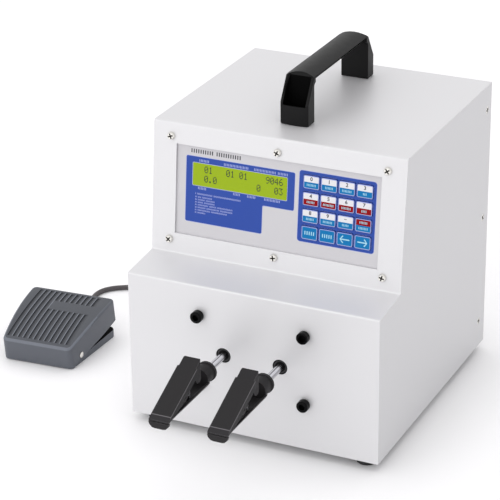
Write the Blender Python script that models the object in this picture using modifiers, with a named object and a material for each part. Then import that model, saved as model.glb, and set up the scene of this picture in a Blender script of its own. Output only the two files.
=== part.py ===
"""Wire twisting machine with its foot pedal: two driven spindles with sprung clips.

Metres, +Z up. The pieces are placed from the middle of the lower front's bottom edge, with +X to
the right, +Y to the rear and Z = 0 on the table. At the end the whole assembly is moved, so that
the origin is the middle of the footprint of the machine and its pedal.
"""

import math

import bmesh
import bpy
from mathutils import Matrix, Vector

# Shared clearances and sheet
GAP = 0.0003
OVERRUN = 0.004
SHEET = 0.0015
BEND_RADIUS = 0.0025
JOIN_OVERLAP = 0.001
WELD_DISTANCE = 0.000001
MERGE_DISTANCE = 0.0001

# Housing
HOUSING_WIDTH = 0.2200
HOUSING_DEPTH = 0.2438
HOUSING_HEIGHT = 0.2409
LEDGE_DEPTH = 0.0425
LEDGE_RISE = 0.0036
PANEL_SETBACK = 0.0113

# Feet
FOOT_HEIGHT = 0.0080
FOOT_RADIUS = 0.0090
FOOT_TOP_RADIUS = 0.0075
FOOT_EDGE = 0.0010
FOOT_STEM_RADIUS = 0.0024
FOOT_INSET = 0.0160

# Rear chassis
CHASSIS_CORNER = 0.0030
CHASSIS_FLANGE = 0.0160
CHASSIS_INSET = 0.0005
VENT_LENGTH = 0.0400
VENT_HEIGHT = 0.0035
VENT_PITCH = 0.0080
VENT_COUNT = 5
VENT_CENTRE_X = -0.0450
VENT_CENTRE_Z = 0.1750

# Recessed opening of the upper panel, across and up the slope, and the plate behind it
OPENING_SIDE = 0.02075
OPENING_LOW = 0.0172
OPENING_TOP_STRIP = 0.01768
CONTROL_PLATE_THICKNESS = 0.0015
CONTROL_PLATE_CORNER = 0.0030
CONTROL_PLATE_SIDE = 0.0050
CONTROL_PLATE_STRIP = 0.0060

# Panel screws, outside the opening
PANEL_SCREW_OUT = 0.00475
PANEL_SCREW_OFF = 0.0058
PANEL_SCREW_RADIUS = 0.0015
PANEL_SCREW_LENGTH = 0.0070
PANEL_SCREW_HEAD_RADIUS = 0.0030
PANEL_SCREW_HEAD_HEIGHT = 0.0021
PANEL_SCREW_HEAD_EDGE = 0.0010
PANEL_SCREW_FLAT_RADIUS = 0.0021
PANEL_SCREW_RECESS_LENGTH = 0.0032
PANEL_SCREW_RECESS_WIDTH = 0.0008
PANEL_SCREW_RECESS_DEPTH = 0.0010

# Display, which takes the width that the keys leave
DISPLAY_SIDE = 0.01525
DISPLAY_TO_KEYS = 0.0132
DISPLAY_TOP_STRIP = 0.0142
DISPLAY_HEIGHT = 0.0179
DISPLAY_FRAME_MARGIN = 0.0060
DISPLAY_FRAME_DEPTH = 0.0070
DISPLAY_BOARD_MARGIN = 0.0080
DISPLAY_BOARD_THICKNESS = 0.0016
DISPLAY_RECESS = 0.0004

# Keys
KEY_COLUMNS = 4
KEY_ROWS = 4
KEY_WIDTH = 0.0137
KEY_HEIGHT = 0.0109
KEY_PITCH_X = 0.0152
KEY_PITCH_UP = 0.01405
KEYPAD_SIDE = 0.00715
KEYPAD_TOP_STRIP = 0.0085
KEYPAD_BOTTOM_STRIP = 0.01435
KEY_CORNER = 0.0012
KEY_CORNER_STEPS = 2
KEY_PROUD = 0.0008
KEY_TRAVEL = 0.0004
KEY_DEPTH = 0.0042

# Control board behind the keys
BOARD_MARGIN = 0.0050
BOARD_THICKNESS = 0.0016
PILLAR_RADIUS = 0.0020

# Spindles and their drive
DRIVE_BELOW_SHARE = 0.6545
SPINDLE_DROP = 0.00155
SPINDLE_RADIUS = 0.0030
SPINDLE_COLLAR_RADIUS = 0.0045
BEARING_RADIUS = 0.0065
BEARING_WIDTH = 0.0050
BEARING_SETBACK = 0.0003
BEARING_SEAL_INNER = 0.0043
BEARING_SEAL_OUTER = 0.0058
BEARING_SEAL_DEPTH = 0.0004
CAP_SCREW_OUT = 0.0215
CAP_SCREW_SPREAD = 0.0605
CAP_SCREW_RADIUS = 0.0030
CAP_SCREW_LENGTH = 0.0160
CAP_SCREW_HEAD_RADIUS = 0.0050
CAP_SCREW_HEAD_HEIGHT = 0.0060
CAP_SCREW_HEAD_EDGE = 0.0006
CAP_SCREW_SOCKET_RADIUS = 0.0029
CAP_SCREW_SOCKET_DEPTH = 0.0030
FRAME_MARGIN = 0.0100
FRAME_CORNER = 0.0060
FRAME_THICKNESS = 0.0060
FRAME_POST_RADIUS = 0.0065
FRAME_REAR_THICKNESS = 0.0050
GEAR_MODULE = 0.0010
GEAR_TEETH = 36
PINION_TEETH = 14
GEAR_BACKLASH = 0.0003
GEAR_ROOT_STEP = 0.0003
GEAR_ROOT_SHARE = 1.25
GEAR_WIDTH = 0.0070
GEAR_RUNNING_ROOM = 0.0020
GEAR_HUB_ROOM = 0.0040
GEAR_HUB_RADIUS = 0.0080
GEAR_HUB_WIDTH = 0.0060
PRESSURE_ANGLE = math.radians(20)
PINION_WIDTH = 0.0090
MOTOR_SHAFT_RADIUS = 0.0025
MOTOR_RADIUS = 0.0290
MOTOR_LENGTH = 0.0840
MOTOR_BOSS_RADIUS = 0.0110
MOTOR_BOSS_LENGTH = 0.0025
MOTOR_CAP_RADIUS = 0.0245
MOTOR_CAP_LENGTH = 0.0100
MOTOR_CAN_STEP = 0.0015
MOTOR_BORE_DEPTH = 0.0200
MOTOR_TAIL_RADIUS = 0.0080
MOTOR_TAIL_LENGTH = 0.0040

# Spindle clips: forward of the housing and above the spindle axis
CLIP_REAR = 0.0290
CLIP_BOSS_RADIUS = 0.0078
CLIP_BOSS_LENGTH = 0.0140
CLIP_FLANGE_RADIUS = 0.0086
CLIP_FLANGE_WIDTH = 0.0025
CLIP_SHAFT_DEPTH = 0.0110
CLIP_TROUGH_RADIUS = 0.0089
CLIP_WALL = 0.0018
CLIP_RIM_BELOW = 0.0029
CLIP_RIM_DROP = 0.0019
CLIP_RIM_DROP_START = 0.0180
CLIP_LIP_THICKNESS = 0.0024
CLIP_LIP_BELOW = 0.0103
CLIP_LIP_TOP_BELOW = 0.0050
CLIP_LIP_CORNER = 0.0050
PIVOT_SHARE = 0.5201
PIVOT_ABOVE = 0.0046
PIVOT_PIN_RADIUS = 0.0012
PIVOT_LUG_RADIUS = 0.0026
PIVOT_LUG_SPREAD = 0.0034
PIVOT_PIN_LENGTH = 0.0168
LEVER_LENGTH = 0.0596
LEVER_WIDTH = 0.0174
LEVER_REAR_WIDTH = 0.0146
LEVER_REAR_LENGTH = 0.0100
LEVER_THICKNESS = 0.0018
LEVER_WALL_HEIGHT = 0.0068
LEVER_REAR_ROOM = 0.0100
LEVER_REAR_ABOVE = 0.0240
LEVER_FRONT_ABOVE = -0.0025
LEVER_FRONT_SETBACK = 0.0004
LEVER_CHEEK_LENGTH = 0.0080
LEVER_CHEEK_BOTTOM = 0.0050
LEVER_CHEEK_CORNER = 0.0026
LEVER_EAR_RADIUS = 0.0036
LEVER_EAR_START_ANGLE = math.radians(-30)
LEVER_EAR_END_ANGLE = math.radians(-150)
LEVER_TIP_LENGTH = 0.0075
CLIP_SPRING_SHARE = 0.2349
CLIP_SPRING_RADIUS = 0.0034
CLIP_SPRING_WIRE = 0.0005
CLIP_SPRING_TURNS = 6
CLIP_SPRING_POINTS = 8
CLIP_SEAT_RADIUS = 0.0042
CLIP_SEAT_HEIGHT = 0.0132
CLIP_SPIGOT_RADIUS = 0.0022
CLIP_SPIGOT_HEIGHT = 0.0040
CLIP_SPRING_FLOOR = 0.0012

# Handle
HANDLE_FRONT_SHARE = 0.57
HANDLE_LENGTH = 0.1386
HANDLE_WIDTH = 0.0245
HANDLE_HEIGHT = 0.0410
HANDLE_CROWN = 0.0033
HANDLE_UPRIGHT = 0.0160
HANDLE_SLOPE = 0.0150
HANDLE_LEG = 0.0140
HANDLE_BAR_THICKNESS = 0.0080
HANDLE_BOW = 0.0014
HANDLE_WALL = 0.0026
HANDLE_POCKET_FLOOR = 0.0060
HANDLE_POCKET_ROOF = 0.0040
HANDLE_BAR_BEVEL = 0.0042
HANDLE_INNER_CORNER = 0.0030

# Power supply and rear fittings
SUPPLY_WIDTH = 0.0970
SUPPLY_DEPTH = 0.0990
SUPPLY_HEIGHT = 0.0360
SUPPLY_TERMINAL_DEPTH = 0.0130
SUPPLY_TERMINAL_HEIGHT = 0.0200
SUPPLY_SIDE_ROOM = 0.0135
SUPPLY_REAR_ROOM = 0.0133
SUPPLY_EDGE = 0.0010
INLET_SIDE = 0.0500
INLET_CENTRE_Z = 0.0950
INLET_FLANGE_WIDTH = 0.0310
INLET_FLANGE_HEIGHT = 0.0640
INLET_FLANGE_THICKNESS = 0.0025
INLET_BODY_WIDTH = 0.0270
INLET_BODY_HEIGHT = 0.0560
INLET_BODY_DEPTH = 0.0260
INLET_CORNER = 0.0020
INLET_SOCKET_WIDTH = 0.0230
INLET_SOCKET_HEIGHT = 0.0155
INLET_SOCKET_DEPTH = 0.0160
INLET_SOCKET_BELOW = 0.0160
INLET_SOCKET_CORNER = 0.0035
INLET_MOUTH_DEPTH = 0.0062
INLET_PIN_WIDTH = 0.0040
INLET_PIN_THICKNESS = 0.0020
INLET_PIN_PITCH = 0.0070
INLET_EARTH_RISE = 0.0030
SWITCH_ABOVE = 0.0150
SWITCH_WIDTH = 0.0130
SWITCH_HEIGHT = 0.0190
SWITCH_POCKET_DEPTH = 0.0120
SWITCH_PIVOT_DEPTH = 0.0035
SWITCH_ROCK = math.radians(9)
SWITCH_PROUD = 0.0030
SWITCH_KEEL = 0.0045
SWITCH_SIDE_SHARE = 0.8
SWITCH_KEEL_SHARE = 0.6
GLAND_CENTRE_X = -0.0400
GLAND_HEIGHT = 0.0380
GLAND_NECK_RADIUS = 0.0055
GLAND_NUT_RADIUS = 0.0095
GLAND_NUT_WIDTH = 0.0045
GLAND_NUT_SHARE = 0.8
GLAND_FLANGE_WIDTH = 0.0030
GLAND_BOOT_RADIUS = 0.0050
GLAND_BOOT_TIP_RADIUS = 0.0034
GLAND_BOOT_LENGTH = 0.0120

# Foot pedal, from the middle of its front bottom edge
PEDAL_X = -0.2330
PEDAL_Y = 0.0540
PEDAL_TURN = math.radians(4)
PEDAL_FRONT_WIDTH = 0.0651
PEDAL_REAR_WIDTH = 0.0800
PEDAL_LENGTH = 0.0772
PEDAL_CORNER = 0.0060
PEDAL_FRONT_HEIGHT = 0.0210
PEDAL_REAR_HEIGHT = 0.0355
PEDAL_TOP_CROWN = 0.0012
PEDAL_TOP_STEPS = 4
PEDAL_GROOVE_STEPS = 2
PEDAL_FRONT_LEAN = 0.0030
PEDAL_REAR_LEAN = 0.0030
PEDAL_WALL = 0.0024
PEDAL_BASE_FRONT_HEIGHT = 0.0030
PEDAL_BASE_REAR_HEIGHT = 0.0072
PEDAL_BASE_SETBACK = 0.0030
PEDAL_FRONT_CLEARANCE = 0.0012
PEDAL_HINGE_BACK = 0.0140
PEDAL_HINGE_HEIGHT = 0.0092
PEDAL_PIN_RADIUS = 0.0020
PEDAL_EAR_WIDTH = 0.0030
PEDAL_EAR_RADIUS = 0.0046
PEDAL_TRAVEL = math.radians(5)
PEDAL_RIB_COUNT = 14
PEDAL_RIB_PITCH = 0.0043
PEDAL_GROOVE_WIDTH = 0.0022
PEDAL_GROOVE_DEPTH = 0.0008
PEDAL_RIB_END = 0.0040
PEDAL_PATCH_BACK = 0.0180
PEDAL_PATCH_LENGTH = 0.0140
PEDAL_SWITCH_WIDTH = 0.0240
PEDAL_SWITCH_LENGTH = 0.0300
PEDAL_SWITCH_HEIGHT = 0.0090
PEDAL_SWITCH_ROOM = 0.0080
PEDAL_BOOT_LENGTH = 0.0120
PEDAL_BOOT_RADIUS = 0.0032
PEDAL_BOOT_TIP_RADIUS = 0.0028
PEDAL_BOOT_HEIGHT = 0.0042

# Cord from the pedal to the machine
CORD_RADIUS = 0.00225
CORD_LIFT = 0.0001
COIL_CENTRE = (-0.1050, 0.2920)
COIL_INNER_RADIUS = 0.0200
COIL_PITCH = 0.0052
COIL_LAYER_RISE = 0.0052
COIL_TURNS = 6.125
COIL_CLIMB_TURNS = 0.5
COIL_START_ANGLE = math.radians(135)
COIL_POINTS_PER_TURN = 24
CORD_POINTS = 26
TAIL_POINTS = 24
CORD_RUN_ROUTE = (
    (-0.2402, 0.1540, 0.0038),
    (-0.2442, 0.1660, 0.0025),
    (-0.2490, 0.1770, 0.0024),
    (-0.2526, 0.1880, 0.0024),
    (-0.2536, 0.1970, 0.0024),
    (-0.2516, 0.2060, 0.0024),
    (-0.2455, 0.2140, 0.0024),
    (-0.2360, 0.2205, 0.0024),
    (-0.2215, 0.2275, 0.0024),
    (-0.2050, 0.2375, 0.0024),
    (-0.1890, 0.2505, 0.0024),
    (-0.1740, 0.2650, 0.0024),
    (-0.1600, 0.2788, 0.0024),
)
CORD_TAIL_ROUTE = (
    (-0.0900, 0.3295, 0.0068),
    (-0.0810, 0.3343, 0.0048),
    (-0.0720, 0.3390, 0.0031),
    (-0.0620, 0.3406, 0.0024),
    (-0.0510, 0.3377, 0.0024),
    (-0.0429, 0.3296, 0.0024),
    (-0.0402, 0.3190, 0.0025),
    (-0.0400, 0.3085, 0.0048),
    (-0.0400, 0.3004, 0.0111),
    (-0.0400, 0.2956, 0.0202),
    (-0.0400, 0.2908, 0.0293),
    (-0.0400, 0.2827, 0.0356),
)

# Fineness of round forms
ROUTE_STEPS = 16
ROUND_STEPS = 20
SCREW_STEPS = 16
SMALL_STEPS = 12
BEARING_STEPS = 24
MOTOR_STEPS = 28
CORNER_STEPS = 3
FLANK_STEPS = 2
TROUGH_STEPS = 8
CROWN_STEPS = 6
SMOOTH_ANGLE = math.radians(35)
FLAT_ANGLE = math.radians(0.5)

# Places on the upper panel that several pieces share
OPENING_WIDTH = HOUSING_WIDTH - 2 * OPENING_SIDE
KEYPAD_WIDTH = (KEY_COLUMNS - 1) * KEY_PITCH_X + KEY_WIDTH
KEYPAD_HEIGHT = (KEY_ROWS - 1) * KEY_PITCH_UP + KEY_HEIGHT
OPENING_HIGH = OPENING_LOW + KEYPAD_BOTTOM_STRIP + KEYPAD_HEIGHT + KEYPAD_TOP_STRIP
PANEL_LENGTH = OPENING_HIGH + OPENING_TOP_STRIP
KEYPAD_CENTRE_X = OPENING_WIDTH / 2 - KEYPAD_SIDE - KEYPAD_WIDTH / 2
KEYPAD_CENTRE_UP = OPENING_HIGH - KEYPAD_TOP_STRIP - KEYPAD_HEIGHT / 2
DISPLAY_LEFT = -OPENING_WIDTH / 2 + DISPLAY_SIDE
DISPLAY_RIGHT = OPENING_WIDTH / 2 - KEYPAD_SIDE - KEYPAD_WIDTH - DISPLAY_TO_KEYS
DISPLAY_HIGH = OPENING_HIGH - DISPLAY_TOP_STRIP
DISPLAY_LOW = DISPLAY_HIGH - DISPLAY_HEIGHT
PANEL_SCREW_X = OPENING_WIDTH / 2 + PANEL_SCREW_OUT
PANEL_SCREW_LOW = OPENING_LOW - PANEL_SCREW_OFF
PANEL_SCREW_HIGH = OPENING_HIGH + PANEL_SCREW_OFF
CONTROL_PLATE_FRONT = SHEET + GAP
CONTROL_PLATE_BACK = CONTROL_PLATE_FRONT + CONTROL_PLATE_THICKNESS

# Heights and planes that several pieces share
HOUSING_BOTTOM = FOOT_HEIGHT
HOUSING_TOP = HOUSING_BOTTOM + HOUSING_HEIGHT
LEDGE_Z = HOUSING_TOP - math.sqrt(PANEL_LENGTH ** 2 - PANEL_SETBACK ** 2)
LOWER_FRONT_TOP = LEDGE_Z - LEDGE_RISE
TOP_FRONT = LEDGE_DEPTH + PANEL_SETBACK
FRAME_HEIGHT = CAP_SCREW_SPREAD + 2 * FRAME_MARGIN
DRIVE_ROOM = LOWER_FRONT_TOP - HOUSING_BOTTOM - FRAME_HEIGHT
CAP_SCREW_Z = HOUSING_BOTTOM + DRIVE_ROOM * DRIVE_BELOW_SHARE + FRAME_HEIGHT / 2
SPINDLE_Z = CAP_SCREW_Z - SPINDLE_DROP
SPINDLE_OFFSET = GEAR_MODULE * (GEAR_TEETH + PINION_TEETH) / 2
CAP_SCREW_X = SPINDLE_OFFSET + CAP_SCREW_OUT
FRAME_FRONT = SHEET + GAP
FRAME_BACK = FRAME_FRONT + FRAME_THICKNESS
FRAME_REAR_FRONT = FRAME_BACK + GEAR_RUNNING_ROOM + GEAR_WIDTH + GEAR_HUB_WIDTH + GEAR_HUB_ROOM
FRAME_REAR_BACK = FRAME_REAR_FRONT + FRAME_REAR_THICKNESS
GEAR_FRONT = FRAME_BACK + GEAR_RUNNING_ROOM
LEVER_REAR = CLIP_REAR + CLIP_BOSS_LENGTH + LEVER_REAR_ROOM
LEVER_FRONT = LEVER_REAR + LEVER_LENGTH
CLIP_FRONT = LEVER_FRONT + LEVER_FRONT_SETBACK
PIVOT_FORWARD = LEVER_REAR + LEVER_LENGTH * PIVOT_SHARE
CLIP_SPRING_FORWARD = LEVER_REAR + LEVER_LENGTH * CLIP_SPRING_SHARE
HANDLE_FRONT = TOP_FRONT + (HOUSING_DEPTH - TOP_FRONT - HANDLE_LENGTH) * HANDLE_FRONT_SHARE
INLET_CENTRE_X = HOUSING_WIDTH / 2 - INLET_SIDE

# Views: local X and Y of a drawn outline, and the way that its thickness grows
FRONT_VIEW = Matrix(((1, 0, 0, 0), (0, 0, -1, 0), (0, 1, 0, 0), (0, 0, 0, 1)))
REAR_VIEW = Matrix(((-1, 0, 0, 0), (0, 0, 1, 0), (0, 1, 0, 0), (0, 0, 0, 1)))
SIDE_VIEW = Matrix(((0, 0, 1, 0), (1, 0, 0, 0), (0, 1, 0, 0), (0, 0, 0, 1)))
FORWARD_VIEW = Matrix(((0, 0, -1, 0), (-1, 0, 0, 0), (0, 1, 0, 0), (0, 0, 0, 1)))


def shift(x, y, z):
    """A move by x, y and z."""
    return Matrix.Translation((x, y, z))


def panel_view():
    """The upper panel: X across, Y up its slope from its bottom edge, Z out of its face."""
    rise = HOUSING_TOP - LEDGE_Z
    up = Vector((0, PANEL_SETBACK, rise)).normalized()
    out = Vector((1, 0, 0)).cross(up)
    turn = Matrix((Vector((1, 0, 0)), up, out)).transposed().to_4x4()
    return shift(0, LEDGE_DEPTH, LEDGE_Z) @ turn


PANEL_VIEW = panel_view()


# The empty scene, its collection and the finishes
for old in list(bpy.data.objects):
    bpy.data.objects.remove(old, do_unlink=True)
PARTS = bpy.data.collections.new("wire_twisting_machine")
bpy.context.scene.collection.children.link(PARTS)
ASSEMBLY = bpy.data.objects.new("assembly", None)
PARTS.objects.link(ASSEMBLY)


def finish(name, colour, roughness, metallic):
    """A material with the colour, roughness and metallic value that the photograph shows."""
    material = bpy.data.materials.new(name)
    material.use_nodes = True
    shader = material.node_tree.nodes["Principled BSDF"]
    shader.inputs["Base Color"].default_value = (*colour, 1)
    shader.inputs["Roughness"].default_value = roughness
    shader.inputs["Metallic"].default_value = metallic
    return material


WHITE_COAT = finish("white_powder_coat", (0.80, 0.80, 0.81), 0.45, 0)
BARE_SHEET = finish("galvanised_sheet", (0.62, 0.63, 0.64), 0.40, 1)
GREY_PLATE = finish("grey_control_plate", (0.62, 0.60, 0.60), 0.50, 0)
GREEN_GLASS = finish("green_display", (0.39, 0.58, 0.02), 0.20, 0)
GREEN_BOARD = finish("circuit_board", (0.03, 0.22, 0.08), 0.45, 0)
CYAN_KEY = finish("cyan_key", (0.02, 0.27, 0.55), 0.40, 0)
RED_KEY = finish("red_key", (0.43, 0.02, 0.02), 0.40, 0)
CAST_METAL = finish("cast_aluminium", (0.55, 0.56, 0.57), 0.50, 1)
STEEL = finish("ground_steel", (0.66, 0.66, 0.68), 0.25, 1)
NICKEL = finish("nickel_screw", (0.70, 0.69, 0.66), 0.30, 1)
BLACK_STEEL = finish("black_steel", (0.02, 0.02, 0.022), 0.40, 1)
GEAR_STEEL = finish("gear_steel", (0.45, 0.45, 0.46), 0.35, 1)
BLACK_PLASTIC = finish("black_plastic", (0.017, 0.017, 0.019), 0.45, 0)
CHARCOAL_PLASTIC = finish("charcoal_plastic", (0.045, 0.042, 0.045), 0.50, 0)
GREY_PLASTIC = finish("grey_pedal_plastic", (0.10, 0.115, 0.13), 0.55, 0)
RUBBER = finish("black_rubber", (0.02, 0.02, 0.02), 0.80, 0)
CORD_GREY = finish("cord_grey", (0.11, 0.11, 0.11), 0.60, 0)


def add_object(name, data, place, material):
    """An object of the assembly with its origin at place."""
    piece = bpy.data.objects.new(name, data)
    PARTS.objects.link(piece)
    piece.parent = ASSEMBLY
    piece.matrix_local = place
    if material:
        data.materials.clear()
        data.materials.append(material)
    bpy.context.view_layer.update()
    return piece


def settle(piece):
    """Replace a piece's data by the closed mesh that its curve or modifiers make."""
    bpy.context.view_layer.update()
    graph = bpy.context.evaluated_depsgraph_get()
    mesh = bpy.data.meshes.new_from_object(piece.evaluated_get(graph))
    work = bmesh.new()
    work.from_mesh(mesh)
    bmesh.ops.remove_doubles(work, verts=work.verts, dist=WELD_DISTANCE)
    bmesh.ops.recalc_face_normals(work, faces=work.faces)
    work.to_mesh(mesh)
    work.free()
    name, place = piece.name, piece.matrix_local.copy()
    bpy.data.objects.remove(piece, do_unlink=True)
    return add_object(name, mesh, place, None)


def fillet(corners, radii, steps=CORNER_STEPS):
    """The outline through the corners, each rounded by an arc of its radius."""
    if not hasattr(radii, "__len__"):
        radii = [radii] * len(corners)
    outline = []
    for index, corner in enumerate(corners):
        here = Vector(corner)
        back = (Vector(corners[index - 1]) - here).normalized()
        ahead = (Vector(corners[(index + 1) % len(corners)]) - here).normalized()
        if not radii[index]:
            outline.append(tuple(here))
            continue
        half = back.angle(ahead) / 2
        centre = here + (back + ahead).normalized() * (radii[index] / math.sin(half))
        reach = radii[index] / math.tan(half)
        first = here + back * reach - centre
        last = here + ahead * reach - centre
        for step in range(steps + 1):
            spoke = first.lerp(last, step / steps).normalized() * radii[index]
            outline.append(tuple(centre + spoke))
    return outline


def rectangle(x_low, x_high, y_low, y_high, radius=0):
    """A rectangle's outline, with round corners."""
    corners = [(x_low, y_low), (x_high, y_low), (x_high, y_high), (x_low, y_high)]
    return fillet(corners, radius)


def circle(radius, centre=(0, 0), steps=ROUND_STEPS, turn=0):
    """A circle's outline."""
    return [
        (centre[0] + radius * math.cos(turn + math.tau * step / steps),
         centre[1] + radius * math.sin(turn + math.tau * step / steps))
        for step in range(steps)
    ]


def arc(radius, start, end, steps, centre=(0, 0)):
    """The points of an arc from the start angle to the end angle."""
    return [
        (centre[0] + radius * math.cos(start + (end - start) * step / steps),
         centre[1] + radius * math.sin(start + (end - start) * step / steps))
        for step in range(steps + 1)
    ]


def plate(name, outlines, low, high, view, material=None, clean=False):
    """A plate from an outline and its holes, from low to high along the view's depth."""
    drawing = bpy.data.curves.new(name, "CURVE")
    drawing.dimensions = "2D"
    drawing.fill_mode = "BOTH"
    drawing.extrude = (high - low) / 2
    for outline in outlines:
        spline = drawing.splines.new("POLY")
        spline.points.add(len(outline) - 1)
        for point, (x, y) in zip(spline.points, outline):
            point.co = (x, y, 0, 1)
        spline.use_cyclic_u = True
    piece = settle(add_object(name, drawing, view @ shift(0, 0, (high + low) / 2), material))
    if clean:
        work = bmesh.new()
        work.from_mesh(piece.data)
        bmesh.ops.dissolve_limit(work, angle_limit=FLAT_ANGLE, verts=work.verts, edges=work.edges)
        work.to_mesh(piece.data)
        work.free()
    return piece


def turned(name, profile, view, material=None, steps=ROUND_STEPS, ring=False):
    """A turned piece from (radius, height) points, listed from the top down its outer side."""
    mesh = bpy.data.meshes.new(name)
    links = [(index, index + 1) for index in range(len(profile) - 1)]
    if ring:
        links.append((len(profile) - 1, 0))
    mesh.from_pydata([(radius, 0, height) for radius, height in profile], links, [])
    piece = add_object(name, mesh, view, material)
    spin = piece.modifiers.new("turn", "SCREW")
    spin.steps = steps
    spin.render_steps = steps
    spin.use_merge_vertices = True
    spin.merge_threshold = MERGE_DISTANCE
    return settle(piece)


def rod(name, radius, low, high, view, material=None, steps=ROUND_STEPS):
    """A plain cylinder along the view's depth."""
    work = bmesh.new()
    bmesh.ops.create_cone(
        work, cap_ends=True, segments=steps, radius1=radius, radius2=radius,
        depth=high - low, matrix=shift(0, 0, (high + low) / 2),
    )
    mesh = bpy.data.meshes.new(name)
    work.to_mesh(mesh)
    work.free()
    return add_object(name, mesh, view, material)


def combine(piece, tools, operation):
    """Join the tools to a piece, or cut them out of it, and remove them."""
    for tool in tools:
        change = piece.modifiers.new(operation, "BOOLEAN")
        change.operation = operation
        change.solver = "EXACT"
        change.object = tool
    bpy.context.view_layer.update()
    graph = bpy.context.evaluated_depsgraph_get()
    mesh = bpy.data.meshes.new_from_object(piece.evaluated_get(graph))
    piece.modifiers.clear()
    piece.data = mesh
    for tool in tools:
        bpy.data.objects.remove(tool, do_unlink=True)
    return piece


def gathered(pieces):
    """One cutter made of separate solids that don't touch each other."""
    bpy.context.view_layer.update()
    first = pieces[0]
    home = first.matrix_local.inverted()
    work = bmesh.new()
    work.from_mesh(first.data)
    for piece in pieces[1:]:
        copy = piece.data.copy()
        copy.transform(home @ piece.matrix_local)
        work.from_mesh(copy)
        bpy.data.objects.remove(piece, do_unlink=True)
    work.to_mesh(first.data)
    work.free()
    return first


def cut(piece, *tools):
    """Cut solids that don't touch each other out of a piece in one step."""
    return combine(piece, [gathered(list(tools))], "DIFFERENCE")


def join(piece, *tools):
    """Join solids to a piece, which they overlap."""
    return combine(piece, list(tools), "UNION")


def soften(piece, width, segments=2, angle=math.radians(40)):
    """Round a piece's edges."""
    bevel = piece.modifiers.new("edges", "BEVEL")
    bevel.width = width
    bevel.segments = segments
    bevel.limit_method = "ANGLE"
    bevel.angle_limit = angle
    return settle(piece)


def recentre(piece, place):
    """Move a piece's origin to place and leave the piece where it is."""
    piece.data.transform(place.inverted() @ piece.matrix_local)
    piece.matrix_local = place
    bpy.context.view_layer.update()
    return piece


# Housing
def housing_shell():
    """The folded sheet: lower front, ledge, leaning panel, top and both sides in one."""
    side = [
        (0, HOUSING_BOTTOM),
        (HOUSING_DEPTH, HOUSING_BOTTOM),
        (HOUSING_DEPTH, HOUSING_TOP),
        (TOP_FRONT, HOUSING_TOP),
        (LEDGE_DEPTH, LEDGE_Z),
        (0, LOWER_FRONT_TOP),
    ]
    half = HOUSING_WIDTH / 2
    shell = plate("housing_shell", [side], -half, half, SIDE_VIEW, WHITE_COAT, clean=True)
    recentre(shell, Matrix())
    work = bmesh.new()
    work.from_mesh(shell.data)
    open_sides = [face for face in work.faces if face.normal.y > 0.9 or face.normal.z < -0.9]
    bmesh.ops.delete(work, geom=open_sides, context="FACES")
    work.to_mesh(shell.data)
    work.free()
    bend = shell.modifiers.new("bends", "BEVEL")
    bend.width = BEND_RADIUS
    bend.segments = 2
    wall = shell.modifiers.new("sheet", "SOLIDIFY")
    wall.thickness = SHEET
    wall.offset = -1
    wall.use_even_offset = True
    shell = settle(shell)
    cuts = [plate("opening", [opening_outline()], -OVERRUN, OVERRUN, PANEL_VIEW)]
    for side_of in (-1, 1):
        hole = BEARING_RADIUS + GAP
        at_spindle = shift(side_of * SPINDLE_OFFSET, 0, SPINDLE_Z) @ FRONT_VIEW
        cuts.append(rod("spindle_hole", hole, -OVERRUN, OVERRUN, at_spindle, steps=BEARING_STEPS))
    for place in cap_screw_places():
        cuts.append(rod("screw_hole", CAP_SCREW_RADIUS + GAP, -OVERRUN, OVERRUN, place,
                        steps=SCREW_STEPS))
    for place in panel_screw_places():
        hole = PANEL_SCREW_RADIUS + GAP
        cuts.append(rod("screw_hole", hole, -OVERRUN, OVERRUN, place, steps=SMALL_STEPS))
    return cut(shell, *cuts)


def opening_outline():
    """The recessed opening of the upper panel."""
    return rectangle(-OPENING_WIDTH / 2, OPENING_WIDTH / 2, OPENING_LOW, OPENING_HIGH)


def cap_screw_places():
    """The four screws round the spindles, on the lower front."""
    return [
        shift(x, 0, CAP_SCREW_Z + up * CAP_SCREW_SPREAD / 2) @ FRONT_VIEW
        for up in (1, -1)
        for x in (-CAP_SCREW_X, CAP_SCREW_X)
    ]


def panel_screw_places():
    """The six screws round the opening, on the upper panel."""
    return [
        PANEL_VIEW @ shift(x, up, 0)
        for up in (PANEL_SCREW_HIGH, PANEL_SCREW_LOW)
        for x in (-PANEL_SCREW_X, 0, PANEL_SCREW_X)
    ]


def foot_places():
    """The four feet, under the base plate's corners."""
    half = HOUSING_WIDTH / 2 - FOOT_INSET
    return {
        "front_left": (-half, FOOT_INSET),
        "front_right": (half, FOOT_INSET),
        "rear_left": (-half, HOUSING_DEPTH - FOOT_INSET),
        "rear_right": (half, HOUSING_DEPTH - FOOT_INSET),
    }


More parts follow.
